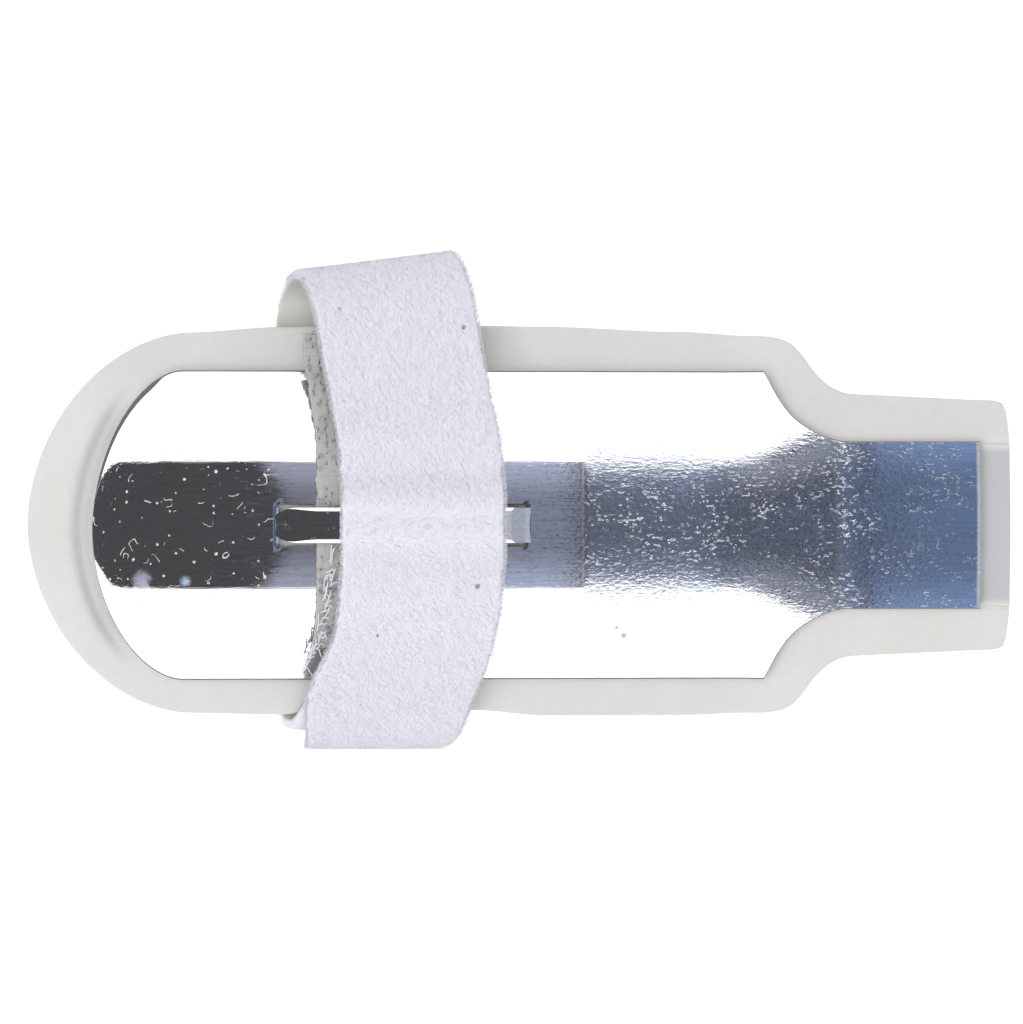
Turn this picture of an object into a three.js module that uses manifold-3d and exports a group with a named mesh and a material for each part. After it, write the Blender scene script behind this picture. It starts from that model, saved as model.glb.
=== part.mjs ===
// Finger splint: a cupped aluminium trough with a foam liner, held on by a pile strap over a hook tape.
// Millimetres. X runs along the finger from the tip to the tail, Y across it, Z up out of the metal side.
// The splint rests open side down on the flat run of its strap and on the foam at its shoulders.

import * as THREE from "three";
import Module from "manifold-3d";

const wasm = await Module();
wasm.setup();

// Sheet metal
const METAL_THICKNESS = 0.8;
const METAL_HALF_WIDTH = 13;
const METAL_TIP_X = -35.8;
const METAL_TIP_REACH = 7.4;
const METAL_SHOULDER_X = 20.6;
const METAL_SHOULDER_LENGTH = 6.4;
const METAL_TAIL_HALF_WIDTH = 7;
const METAL_TAIL_X = 38.6;
const TIP_SKEW = 0.5;
const TIP_SQUARENESS = 1.8;

// Form of the trough
const BODY_RADIUS = 17;
const TAIL_RADIUS = 30;
const TAIL_BLEND_START = 17;
const TAIL_BLEND_END = 30;
const SPOON_START = -26;
const SPOON_RADIUS = 11.6;

// Foam liner
const GLUE_GAP = 0.3;
const FOAM_THICKNESS = 3.5;
const FOAM_HALF_WIDTH = 16.3;
const FOAM_TIP_X = -41.4;
const FOAM_TIP_REACH = 13.4;
const FOAM_SHOULDER_X = 20.7;
const FOAM_SHOULDER_LENGTH = 7.3;
const FOAM_TAIL_HALF_WIDTH = 11.1;
const FOAM_TAIL_TAPER = 0.5;
const FOAM_TAIL_X = 41.3;
const FOAM_TAIL_CORNER = 0.9;
const SIDE_FLARE = 0.5;
const TIP_FLARE = 0.06;
const TAIL_FLARE = 0.7;
const FLARE_BEND = 0.8;
const TIP_FLARE_BEND = 1.3;
const TIP_GROOVE_DEPTH = 0.55;
const TIP_GROOVE_WIDTH = 0.7;
const TIP_GROOVE_PLACE = 0.36;

// Bridge
const BRIDGE_START_X = -20.4;
const BRIDGE_END_X = 0.9;
const BRIDGE_WIDTH = 2.9;
const BRIDGE_SLIT = 0.35;
const BRIDGE_START_RAMP = 3.3;
const BRIDGE_END_RAMP = 2;
const BRIDGE_ARCH = 0.3;

// Strap and hook tape
const TAPE_WIDTH = 12.7;
const STRAP_THICKNESS = 1.1;
const HOOK_THICKNESS = 1;
const TAPE_GAP = 0.3;
const STRAP_FLOOR_X = -14.8;
const STRAP_LEAN = 0.455;
const STRAP_BOW = 0.075;
const STRAP_BOW_START = 14.3;
const HOOK_SHIFT = -1.6;
const HOOK_OUTER_Y = 16.2;
const HOOK_INNER_Y = -10.4;
const STRAP_START_Y = -10.9;
const BULGE_REACH = 22.1;
const BULGE_HEIGHT = 11.5;
const BULGE_SLANT = 0.8;
const BULGE_SLANT_START = 15;
const STRAP_END_Z = 2.7;
const REST_X = 15.5;
const REST_CLEARANCE = 0.05;

// Foam margin along the body: distance along it and half width on each side, as shares of the body's own sizes.
const FOAM_SIDES = [
  { along: 0, left: 1.0, right: 0.975 },
  { along: 0.16, left: 1.03, right: 0.985 },
  { along: 0.24, left: 1.035, right: 0.965 },
  { along: 0.5, left: 1.04, right: 0.966 },
  { along: 0.62, left: 1.035, right: 0.995 },
  { along: 0.85, left: 1.01, right: 0.995 },
  { along: 1, left: 0.985, right: 0.98 },
];

// Shoulder: distance along it and what is left of the step in width, for the metal and for the foam.
const SHOULDER = [
  { metalAlong: 0.02, metalOut: 0.96, foamAlong: 0.16, foamOut: 0.97 },
  { metalAlong: 0.06, metalOut: 0.87, foamAlong: 0.3, foamOut: 0.88 },
  { metalAlong: 0.115, metalOut: 0.74, foamAlong: 0.4, foamOut: 0.74 },
  { metalAlong: 0.18, metalOut: 0.61, foamAlong: 0.48, foamOut: 0.58 },
  { metalAlong: 0.28, metalOut: 0.45, foamAlong: 0.56, foamOut: 0.41 },
  { metalAlong: 0.4, metalOut: 0.31, foamAlong: 0.66, foamOut: 0.25 },
  { metalAlong: 0.57, metalOut: 0.18, foamAlong: 0.78, foamOut: 0.11 },
  { metalAlong: 0.77, metalOut: 0.07, foamAlong: 0.9, foamOut: 0.03 },
  { metalAlong: 1, metalOut: 0, foamAlong: 1, foamOut: 0 },
];

// Loose bend of the strap beside the splint, from the floor up: shares of its reach and of its height.
const STRAP_BULGE = [
  { out: 0.79, up: 0.055 },
  { out: 0.93, up: 0.16 },
  { out: 0.995, up: 0.38 },
  { out: 0.985, up: 0.6 },
  { out: 0.9, up: 0.79 },
  { out: 0.765, up: 0.93 },
  { out: 0.64, up: 1.02 },
];

// Rows round the tip, along the body and along the tail, and columns over the metal and over the foam margin.
const TIP_ROWS = 14;
const BODY_ROWS = 10;
const TAIL_ROWS = 4;
const LIP_ROWS = 3;
const METAL_COLUMNS = 8;
const MARGIN_COLUMNS = 6;
const STRAP_STEPS = 96;
const HOOK_STEPS = 30;

const { clamp, lerp, smoothstep } = THREE.MathUtils;

// Trough surface
const radiusAt = (x) => lerp(BODY_RADIUS, TAIL_RADIUS, smoothstep(x, TAIL_BLEND_START, TAIL_BLEND_END));
const sagOf = (radius, offset) => radius - Math.sqrt(radius * radius - offset * offset);
const marginDrop = (run, slope, flare, bend) => flare * run + (slope - flare) * bend * (1 - Math.exp(-run / bend));

// Depth of the foam's lowest edge under the crown, at a place along the body.
function foamDepth(x) {
  const tipStart = FOAM_TIP_X + FOAM_TIP_REACH;
  const share = (x - tipStart) / (FOAM_SHOULDER_X - tipStart);
  const widest = Math.max(fromTable(FOAM_SIDES, share, "left"), fromTable(FOAM_SIDES, share, "right"));
  const tilt = Math.asin(METAL_HALF_WIDTH / BODY_RADIUS);
  const inset = METAL_THICKNESS + GLUE_GAP;
  const run = FOAM_HALF_WIDTH * widest - METAL_HALF_WIDTH + inset * Math.sin(tilt);
  const drop = marginDrop(run, Math.tan(tilt), SIDE_FLARE, FLARE_BEND);
  return sagOf(BODY_RADIUS, METAL_HALF_WIDTH) + inset * Math.cos(tilt) + drop
    + FOAM_THICKNESS * Math.cos(Math.atan(SIDE_FLARE));
}

// The strap's flat run lifts the splint, so the crown falls a little towards the tail.
const STRAP_EDGE_X = STRAP_FLOOR_X + TAPE_WIDTH / 2 + STRAP_LEAN * STRAP_THICKNESS;
const PITCH = (STRAP_THICKNESS + TAPE_GAP + foamDepth(STRAP_EDGE_X) - foamDepth(REST_X) - REST_CLEARANCE)
  / (REST_X - STRAP_EDGE_X);
const crownZ = (x) => foamDepth(REST_X) + REST_CLEARANCE + PITCH * (REST_X - x);
const metalTop = (x, y) =>
  crownZ(x) - sagOf(radiusAt(x), y) - sagOf(SPOON_RADIUS, Math.max(0, SPOON_START - x));

function metalNormal(x, y) {
  const step = 1e-4;
  const slopeX = (metalTop(x + step, y) - metalTop(x - step, y)) / (2 * step);
  const slopeY = (metalTop(x, y + step) - metalTop(x, y - step)) / (2 * step);
  return new THREE.Vector3(-slopeX, -slopeY, 1).normalize();
}

const onMetal = (x, y, lift) =>
  new THREE.Vector3(x, y, metalTop(x, y)).addScaledVector(metalNormal(x, y), lift);

// A value between the rows of a table, by one of its columns.
function fromTable(table, share, column) {
  const next = table.findIndex((row) => row.along >= share);
  if (next <= 0) return table[0][column];
  const [low, high] = [table[next - 1], table[next]];
  const t = smoothstep(share, low.along, high.along);
  return lerp(low[column], high[column], t);
}

// One rib per row: where it leaves the spine, crosses the metal's edge and ends at the foam's edge.
function ribs(side) {
  const power = 2 / TIP_SQUARENESS;
  const column = side > 0 ? "left" : "right";
  const foamWidth = (share) => FOAM_HALF_WIDTH * fromTable(FOAM_SIDES, share, column);
  const list = [];
  const add = (spine, rimX, rimY, edgeX, edgeY, flare, bend, groove) =>
    list.push({ spine, rimX, rimY: side * rimY, edgeX, edgeY: side * edgeY, flare, bend, groove });

  const metalTipStart = METAL_TIP_X + METAL_TIP_REACH;
  const foamTipStart = FOAM_TIP_X + FOAM_TIP_REACH;
  for (let i = 0; i <= TIP_ROWS; i++) {
    const angle = (i / TIP_ROWS) * (Math.PI / 2);
    const forward = Math.max(0, Math.cos(angle)) ** power;
    const out = Math.sin(angle) ** power;
    const round = smoothstep(i / TIP_ROWS, 0.45, 1);
    add(
      lerp(metalTipStart - METAL_TIP_REACH / 2, metalTipStart, i / TIP_ROWS),
      metalTipStart - METAL_TIP_REACH * forward, METAL_HALF_WIDTH * out - side * TIP_SKEW * forward * forward,
      foamTipStart - FOAM_TIP_REACH * forward, foamWidth(0) * out,
      lerp(TIP_FLARE, SIDE_FLARE, round), lerp(TIP_FLARE_BEND, FLARE_BEND, round), 1 - round,
    );
  }
  for (let i = 1; i <= BODY_ROWS; i++) {
    const share = i / BODY_ROWS;
    const x = lerp(metalTipStart, METAL_SHOULDER_X, share);
    add(x, x, METAL_HALF_WIDTH, lerp(foamTipStart, FOAM_SHOULDER_X, share), foamWidth(share),
      SIDE_FLARE, FLARE_BEND, 0);
  }
  for (const row of SHOULDER) {
    const along = smoothstep(row.metalAlong, 0, 1);
    add(
      METAL_SHOULDER_X + METAL_SHOULDER_LENGTH * lerp(row.metalAlong, row.foamAlong, 0.6),
      METAL_SHOULDER_X + METAL_SHOULDER_LENGTH * row.metalAlong,
      lerp(METAL_TAIL_HALF_WIDTH, METAL_HALF_WIDTH, row.metalOut),
      FOAM_SHOULDER_X + FOAM_SHOULDER_LENGTH * row.foamAlong,
      lerp(FOAM_TAIL_HALF_WIDTH, foamWidth(1), row.foamOut),
      lerp(SIDE_FLARE, TAIL_FLARE, along), FLARE_BEND, 0,
    );
  }
  const metalTail = METAL_SHOULDER_X + METAL_SHOULDER_LENGTH;
  const foamTail = FOAM_SHOULDER_X + FOAM_SHOULDER_LENGTH;
  for (let i = 1; i <= TAIL_ROWS; i++) {
    const share = i / TAIL_ROWS;
    const x = lerp(metalTail, METAL_TAIL_X, share);
    add(x, x, METAL_TAIL_HALF_WIDTH, lerp(foamTail, METAL_TAIL_X, share),
      FOAM_TAIL_HALF_WIDTH - FOAM_TAIL_TAPER * share, TAIL_FLARE, FLARE_BEND, 0);
  }
  const metalRows = list.length;
  for (let i = 1; i <= LIP_ROWS; i++) {
    const share = i / LIP_ROWS;
    const x = lerp(METAL_TAIL_X, FOAM_TAIL_X, share);
    const corner = FOAM_TAIL_CORNER * sagOf(1, share * share);
    add(x, x, METAL_TAIL_HALF_WIDTH, x - corner / 4, FOAM_TAIL_HALF_WIDTH - FOAM_TAIL_TAPER - corner,
      TAIL_FLARE, FLARE_BEND, 0);
  }
  return { list, metalRows };
}

// Both sides as one run of ribs, from the tail on the right side round the tip to the tail on the left.
function ribRun(rows) {
  const right = ribs(-1).list.slice(0, rows);
  const left = ribs(1).list.slice(0, rows);
  return [...right.slice(1).reverse(), ...left];
}

// A closed body between two grids of points, with walls where the grids end. Shared points are merged.
function bodyBetween(top, bottom) {
  const positions = [];
  const seen = new Map();
  const indexOf = (point) => {
    const key = point.toArray().map((value) => Math.round(value * 1e4)).join();
    if (!seen.has(key)) {
      seen.set(key, positions.length / 3);
      positions.push(point.x, point.y, point.z);
    }
    return seen.get(key);
  };
  const triangles = [];
  const quad = (a, b, c, d) => {
    const [p, q, r, s] = [a, b, c, d].map(indexOf);
    for (const [i, j, k] of [[p, q, r], [p, r, s]]) {
      if (i !== j && j !== k && k !== i) triangles.push(i, j, k);
    }
  };
  const rows = top.length;
  const last = top[0].length - 1;
  for (let i = 0; i + 1 < rows; i++) {
    for (let k = 0; k < last; k++) {
      quad(top[i][k], top[i + 1][k], top[i + 1][k + 1], top[i][k + 1]);
      quad(bottom[i][k], bottom[i][k + 1], bottom[i + 1][k + 1], bottom[i + 1][k]);
    }
    quad(top[i][last], top[i + 1][last], bottom[i + 1][last], bottom[i][last]);
  }
  for (let k = 0; k < last; k++) {
    quad(top[0][k], top[0][k + 1], bottom[0][k + 1], bottom[0][k]);
    quad(top[rows - 1][k + 1], top[rows - 1][k], bottom[rows - 1][k], bottom[rows - 1][k + 1]);
  }
  return new wasm.Manifold(new wasm.Mesh({
    numProp: 3, vertProperties: new Float32Array(positions), triVerts: new Uint32Array(triangles),
  }));
}

// The metal's outer surface on one rib, from the spine to its edge, lowered by a depth along its normal.
function metalColumn(rib, depth) {
  return Array.from({ length: METAL_COLUMNS + 1 }, (_, k) => {
    const share = k / METAL_COLUMNS;
    return onMetal(lerp(rib.spine, rib.rimX, share), rib.rimY * share, -depth);
  });
}

function shellBody() {
  const run = ribRun(ribs(1).metalRows);
  const trough = bodyBetween(
    run.map((rib) => metalColumn(rib, 0)), run.map((rib) => metalColumn(rib, METAL_THICKNESS)));
  return trough.subtract(bridgeWindow()).add(bridgeStrip());
}

function toManifold(geometry) {
  const soup = geometry.toNonIndexed();
  const positions = [];
  const seen = new Map();
  const triangles = [];
  const source = soup.getAttribute("position");
  for (let i = 0; i < source.count; i++) {
    const point = [source.getX(i), source.getY(i), source.getZ(i)];
    const key = point.map((value) => Math.round(value * 1e4)).join();
    if (!seen.has(key)) {
      seen.set(key, positions.length / 3);
      positions.push(...point);
    }
    triangles.push(seen.get(key));
  }
  return new wasm.Manifold(new wasm.Mesh({
    numProp: 3, vertProperties: new Float32Array(positions), triVerts: new Uint32Array(triangles),
  }));
}

// The opening that the bridge was raised from, wider than it by a slit on each side.
function bridgeWindow() {
  const length = BRIDGE_END_X - BRIDGE_START_X - METAL_THICKNESS;
  const box = new THREE.BoxGeometry(length, BRIDGE_WIDTH + 2 * BRIDGE_SLIT, 6 * METAL_THICKNESS);
  const middle = (BRIDGE_START_X + BRIDGE_END_X) / 2;
  box.rotateY(Math.atan(PITCH));
  box.translate(middle, 0, metalTop(middle, 0));
  return toManifold(box);
}

// The raised strip, ramped at both ends and slightly arched across.
function bridgeStrip() {
  const lift = TAPE_GAP + HOOK_THICKNESS + TAPE_GAP + METAL_THICKNESS + BRIDGE_ARCH / 2;
  const steps = 28;
  const grid = (depth) => Array.from({ length: steps + 1 }, (_, i) => {
    const x = lerp(BRIDGE_START_X, BRIDGE_END_X, i / steps);
    const ramp = Math.min(
      smoothstep(x, BRIDGE_START_X, BRIDGE_START_X + BRIDGE_START_RAMP),
      1 - smoothstep(x, BRIDGE_END_X - BRIDGE_END_RAMP, BRIDGE_END_X));
    return Array.from({ length: 5 }, (_, k) => {
      const side = k / 2 - 1;
      const arch = BRIDGE_ARCH * side * side * ramp;
      return new THREE.Vector3(
        x, (side * BRIDGE_WIDTH) / 2, metalTop(x, 0) + lift * ramp - arch - depth - (1 - ramp) * 0.05);
    });
  });
  return stripBetween(grid(0), grid(METAL_THICKNESS));
}

// A closed strip between two open grids, with a wall along each of the four sides.
function stripBetween(top, bottom) {
  const width = top[0].length;
  const positions = [];
  const triangles = [];
  const index = (layer, i, k) => (layer * top.length + i) * width + k;
  for (const grid of [top, bottom]) for (const row of grid) for (const p of row) positions.push(p.x, p.y, p.z);
  const quad = (a, b, c, d) => triangles.push(a, b, c, a, c, d);
  for (let i = 0; i + 1 < top.length; i++) {
    for (let k = 0; k + 1 < width; k++) {
      quad(index(0, i, k), index(0, i + 1, k), index(0, i + 1, k + 1), index(0, i, k + 1));
      quad(index(1, i, k), index(1, i, k + 1), index(1, i + 1, k + 1), index(1, i + 1, k));
    }
    quad(index(0, i, width - 1), index(0, i + 1, width - 1), index(1, i + 1, width - 1), index(1, i, width - 1));
    quad(index(0, i + 1, 0), index(0, i, 0), index(1, i, 0), index(1, i + 1, 0));
  }
  const end = top.length - 1;
  for (let k = 0; k + 1 < width; k++) {
    quad(index(0, 0, k), index(0, 0, k + 1), index(1, 0, k + 1), index(1, 0, k));
    quad(index(0, end, k + 1), index(0, end, k), index(1, end, k), index(1, end, k + 1));
  }
  return new wasm.Manifold(new wasm.Mesh({
    numProp: 3, vertProperties: new Float32Array(positions), triVerts: new Uint32Array(triangles),
  }));
}

// The foam's outer face on one rib: under the metal, then out past its edge with a bend to a flatter slope.
function foamColumn(rib, grooved) {
  const inset = METAL_THICKNESS + GLUE_GAP;
  const points = metalColumn(rib, inset);
  const rim = points[points.length - 1];
  const normal = metalNormal(rib.rimX, rib.rimY);
  const outward = new THREE.Vector2(rib.edgeX - rim.x, rib.edgeY - rim.y);
  const length = outward.length();
  outward.normalize();
  const slope = (normal.x * outward.x + normal.y * outward.y) / normal.z;
  for (let k = 1; k <= MARGIN_COLUMNS; k++) {
    const run = (k / MARGIN_COLUMNS) * length;
    const place = (run - TIP_GROOVE_PLACE * length) / TIP_GROOVE_WIDTH;
    const groove = grooved ? TIP_GROOVE_DEPTH * rib.groove * Math.exp(-place * place) : 0;
    points.push(new THREE.Vector3(
      rim.x + outward.x * run, rim.y + outward.y * run,
      rim.z - marginDrop(run, slope, rib.flare, rib.bend) - groove));
  }
  return points;
}

// Normals of a grid from its faces, shared where two of its points meet.
function gridNormals(grid) {
  const sums = new Map();
  const keyOf = (p) => p.toArray().map((value) => Math.round(value * 1e4)).join();
  const edge = (a, b) => new THREE.Vector3().subVectors(b, a);
  for (let i = 0; i + 1 < grid.length; i++) {
    for (let k = 0; k + 1 < grid[0].length; k++) {
      const corners = [grid[i][k], grid[i + 1][k], grid[i + 1][k + 1], grid[i][k + 1]];
      const face = edge(corners[0], corners[2]).cross(edge(corners[1], corners[3]));
      for (const corner of corners) {
        const key = keyOf(corner);
        if (!sums.has(key)) sums.set(key, new THREE.Vector3());
        sums.get(key).add(face);
      }
    }
  }
  return grid.map((row) => row.map((p) => sums.get(keyOf(p)).clone().normalize()));
}

function foamBody() {
  const run = ribRun(ribs(1).list.length);
  const plain = run.map((rib) => foamColumn(rib, false));
  const normals = gridNormals(plain);
  const inner = plain.map((row, i) => row.map((p, k) => p.clone().addScaledVector(normals[i][k], -FOAM_THICKNESS)));
  return bodyBetween(run.map((rib) => foamColumn(rib, true)), inner);
}

// Tape centre at a height: the loop leans, so the higher part lies further towards the tail.
const tapeX = (z) => STRAP_FLOOR_X + STRAP_LEAN * z - STRAP_BOW * Math.max(0, z - STRAP_BOW_START) ** 2;

// A point of the tape's middle over the metal, raised above the metal by a height along its normal.
function tapeOnMetal(y, lift) {
  let point = onMetal(tapeX(crownZ(0)), y, lift);
  for (let pass = 0; pass < 4; pass++) point = onMetal(tapeX(point.z), y, lift);
  return { y: point.y, z: point.z, level: 0 };
}

// The foam's edge beside the strap on the right side: its outer and its lower corner.
function foamEdgeAtStrap() {
  const middle = tapeX(STRAP_THICKNESS * 3);
  const edges = ribs(-1).list
    .filter((row) => Math.abs(row.edgeX - middle) < TAPE_WIDTH * 0.6)
    .map((row) => foamColumn(row, false).pop());
  const y = Math.min(...edges.map((edge) => edge.y));
  const z = Math.min(...edges.map((edge) => edge.z));
  const tilt = Math.atan(SIDE_FLARE);
  return {
    outer: { y, z: z + PITCH * TAPE_WIDTH / 2 },
    lower: { y: y + FOAM_THICKNESS * Math.sin(tilt), z: z - FOAM_THICKNESS * Math.cos(tilt) },
  };
}

// Round the right edge of the foam, at a clearance from it, going down.
function roundRightEdge(clearance) {
  const { outer, lower } = foamEdgeAtStrap();
  return [
    { y: outer.y - clearance * 0.72, z: outer.z + clearance * 0.72, level: 0.2 },
    { y: outer.y - clearance * 1.12, z: outer.z - clearance * 0.25 - 0.35, level: 0.4 },
    { y: (outer.y + lower.y) / 2 - clearance * 1.5, z: (outer.z + lower.z) / 2 - clearance * 0.75, level: 0.7 },
  ];
}

// Middle line of the strap, from its inner end on the right side, under the splint, round its left side, over the
// metal and down the right side again. Level 1 lies flat on the floor, level 0 follows the pitch of the metal.
function strapLine(overBridge) {
  const half = STRAP_THICKNESS / 2;
  const innerLift = TAPE_GAP + half;
  const outerLift = TAPE_GAP + HOOK_THICKNESS + TAPE_GAP + half;
  const bridgeLift = TAPE_GAP + HOOK_THICKNESS + TAPE_GAP + METAL_THICKNESS + BRIDGE_ARCH / 2
    + TAPE_GAP + half;
  const { lower } = foamEdgeAtStrap();
  const start = [STRAP_START_Y, STRAP_START_Y - 1.6].map((y) => tapeOnMetal(y, innerLift));
  const floor = [lower.y - 0.1, lower.y / 2, 0, -lower.y / 2, 0.62 * BULGE_REACH].map((y) => ({ y, z: half, level: 1 }));
  const bulge = STRAP_BULGE.map((row) => ({
    y: BULGE_REACH * row.out, z: BULGE_HEIGHT * row.up, level: clamp(1 - row.up * 1.3, 0, 1),
  }));
  const over = [9.2, 6.4, 3.8, 1.6, 0, -1.6, -3.8, -6.4, -9.2, -11.4, -12.7].map((y) => {
    const onBridge = overBridge && Math.abs(y) < BRIDGE_WIDTH;
    return tapeOnMetal(y, onBridge ? bridgeLift : outerLift);
  });
  const end = roundRightEdge(outerLift - HOOK_THICKNESS + STRAP_THICKNESS);
  end[2] = { y: end[2].y - 0.1, z: STRAP_END_Z, level: 0.7 };
  return {
    points: [...start, ...roundRightEdge(innerLift), ...floor, ...bulge, ...over, ...end],
    floorStart: lower.y - 0.1,
  };
}

// A tape along a middle line, as wide as the tape along X, with its thickness square to the line.
function tapeBody(line, thickness, shift) {
  const layers = [1, -1].map((sign) => line.map((point, i) => {
    const before = line[Math.max(0, i - 1)];
    const after = line[Math.min(line.length - 1, i + 1)];
    const across = new THREE.Vector2(-(after.z - before.z), after.y - before.y).normalize();
    const y = point.y + (across.x * sign * thickness) / 2;
    const slant = BULGE_SLANT * smoothstep(point.y, BULGE_SLANT_START, BULGE_REACH);
    const z = point.z + (across.y * sign * thickness) / 2;
    return [-1, 0, 1].map((side) => {
      const offset = (side * TAPE_WIDTH) / 2;
      return new THREE.Vector3(
        tapeX(point.z) + shift + offset, y + slant * side, z - PITCH * (1 - point.level) * (offset + shift));
    });
  }));
  return stripBetween(layers[1], layers[0]);
}

// A middle line drawn smoothly through its points and cut into even steps.
function smoothLine(points, steps) {
  const path = new THREE.CatmullRomCurve3(
    points.map((p) => new THREE.Vector3(p.y, p.z, p.level)), false, "centripetal");
  return path.getSpacedPoints(steps).map((p) => ({ y: p.x, z: p.y, level: clamp(p.z, 0, 1) }));
}

function strapBody() {
  const line = smoothLine(strapLine(true).points, STRAP_STEPS);
  const flat = STRAP_THICKNESS / 2;
  const settled = line.map((p) => (p.z < flat + 0.06 && p.level > 0.9 ? { ...p, z: flat, level: 1 } : p));
  return tapeBody(settled, STRAP_THICKNESS, 0);
}

// The hook tape lies just inside the strap's outer turn, passing under the bridge.
function hookBody() {
  const all = smoothLine(strapLine(false).points, STRAP_STEPS * 3);
  const firstOver = all.findIndex((p) => p.z > BULGE_HEIGHT / 2 && p.y > 0);
  const inward = STRAP_THICKNESS / 2 + TAPE_GAP + HOOK_THICKNESS / 2;
  const offset = all.map((p, i) => {
    const before = all[Math.max(0, i - 1)];
    const after = all[Math.min(all.length - 1, i + 1)];
    const across = new THREE.Vector2(-(after.z - before.z), after.y - before.y).normalize();
    return { y: p.y + across.x * inward, z: p.z + across.y * inward, level: p.level };
  });
  const part = offset.filter((p, i) => i > firstOver && p.y < HOOK_OUTER_Y && p.y > HOOK_INNER_Y);
  const stride = Math.max(1, Math.floor(part.length / HOOK_STEPS));
  return tapeBody(part.filter((_, i) => i % stride === 0), HOOK_THICKNESS, HOOK_SHIFT);
}

function named(name, body, finish) {
  const mesh = body.getMesh();
  const geometry = new THREE.BufferGeometry();
  geometry.setAttribute("position", new THREE.BufferAttribute(new Float32Array(mesh.vertProperties), mesh.numProp));
  geometry.setIndex(new THREE.BufferAttribute(new Uint32Array(mesh.triVerts), 1));
  geometry.computeVertexNormals();
  const part = new THREE.Mesh(geometry, new THREE.MeshStandardMaterial(finish));
  part.name = name;
  return part;
}

const splint = new THREE.Group();
splint.name = "finger_splint";
splint.add(
  named("shell", shellBody(), { color: 0xc4c9d2, roughness: 0.16, metalness: 1 }),
  named("foam_liner", foamBody(), { color: 0xe1deda, roughness: 0.9, metalness: 0 }),
  named("strap", strapBody(), { color: 0xdedde8, roughness: 0.95, metalness: 0 }),
  named("hook_tape", hookBody(), { color: 0xd2cec6, roughness: 0.8, metalness: 0 }),
);

// The frame's origin lies under the middle of the splint, on the surface that it rests on.
const extent = new THREE.Box3().setFromObject(splint);
const middle = extent.getCenter(new THREE.Vector3());
for (const part of splint.children) part.geometry.translate(-middle.x, -middle.y, -extent.min.z);

export default splint;
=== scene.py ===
"""Finger splint: a cupped aluminium trough, its foam liner, the hook tape and the pile strap.

Lengths in the classes are millimetres in the maker's own frame, and every mesh is put out in metres in the
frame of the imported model.
"""

import logging
import math
from dataclasses import dataclass, field
from enum import Enum
from typing import Callable, Sequence

import bmesh
import bpy
import numpy as np
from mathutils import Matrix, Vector, noise


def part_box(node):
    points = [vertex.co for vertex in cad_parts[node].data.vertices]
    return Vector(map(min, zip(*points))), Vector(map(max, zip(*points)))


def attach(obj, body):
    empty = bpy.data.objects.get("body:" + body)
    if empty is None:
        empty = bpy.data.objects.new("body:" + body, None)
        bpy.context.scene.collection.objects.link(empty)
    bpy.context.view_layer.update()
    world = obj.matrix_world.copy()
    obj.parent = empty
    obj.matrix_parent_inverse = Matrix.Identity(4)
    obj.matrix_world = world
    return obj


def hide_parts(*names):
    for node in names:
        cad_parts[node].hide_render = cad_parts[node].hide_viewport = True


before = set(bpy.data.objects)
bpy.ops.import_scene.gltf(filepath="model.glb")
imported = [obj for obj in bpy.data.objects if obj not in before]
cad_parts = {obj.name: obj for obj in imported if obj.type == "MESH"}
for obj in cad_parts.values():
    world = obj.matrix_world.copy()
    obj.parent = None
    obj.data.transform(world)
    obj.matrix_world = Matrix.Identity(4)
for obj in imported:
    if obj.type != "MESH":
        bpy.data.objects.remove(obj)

LOG = logging.getLogger("finger_splint")
MM = 0.001
SEED = 11


# Small helpers for numbers


def smooth(value: np.ndarray | float, low: float, high: float) -> np.ndarray | float:
    """A smooth step from 0 to 1.

    Args:
        value: Where the step is read.
        low: Where it leaves 0.
        high: Where it reaches 1.

    Returns:
        The step at each value.
    """
    t = np.clip((value - low) / (high - low), 0.0, 1.0)
    return t * t * (3 - 2 * t)


def mix(a: float, b: float, t: np.ndarray | float) -> np.ndarray | float:
    """A value between a and b at share t."""
    return a + (b - a) * t


def sag(radius: np.ndarray | float, offset: np.ndarray | float) -> np.ndarray | float:
    """How far a circle of a radius has fallen at an offset from its top."""
    return radius - np.sqrt(np.maximum(radius * radius - offset * offset, 1e-9))


def spline(points: np.ndarray, count: int, power: float = 0.25) -> np.ndarray:
    """An even run of points on a centripetal curve through control points.

    Args:
        points: Control points, one row each.
        count: How many steps to cut the curve into.
        power: Half the power of the knot spacing, 0.25 for a centripetal curve.

    Returns:
        count + 1 points, evenly spaced along the curve.
    """
    ends = np.vstack([2 * points[0] - points[1], points, 2 * points[-1] - points[-2]])
    fine: list[np.ndarray] = []
    t = np.linspace(0, 1, 80, endpoint=False)[:, None]
    for p0, p1, p2, p3 in zip(ends[:-3], ends[1:-2], ends[2:-1], ends[3:]):
        spans = ((p0, p1), (p1, p2), (p2, p3))
        d0, d1, d2 = (max(float(((b - a) ** 2).sum()) ** power, 1e-4) for a, b in spans)
        m1 = ((p1 - p0) / d0 - (p2 - p0) / (d0 + d1) + (p2 - p1) / d1) * d1
        m2 = ((p2 - p1) / d1 - (p3 - p1) / (d1 + d2) + (p3 - p2) / d2) * d1
        squared, cubed = -3 * p1 + 3 * p2 - 2 * m1 - m2, 2 * p1 - 2 * p2 + m1 + m2
        fine.append(p1 + m1 * t + squared * t**2 + cubed * t**3)
    line = np.vstack([*fine, points[-1:]])
    along = np.concatenate([[0], np.cumsum(np.linalg.norm(np.diff(line, axis=0), axis=1))])
    at = np.linspace(0, along[-1], count + 1)
    return np.stack([np.interp(at, along, line[:, k]) for k in range(line.shape[1])], axis=1)


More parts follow.
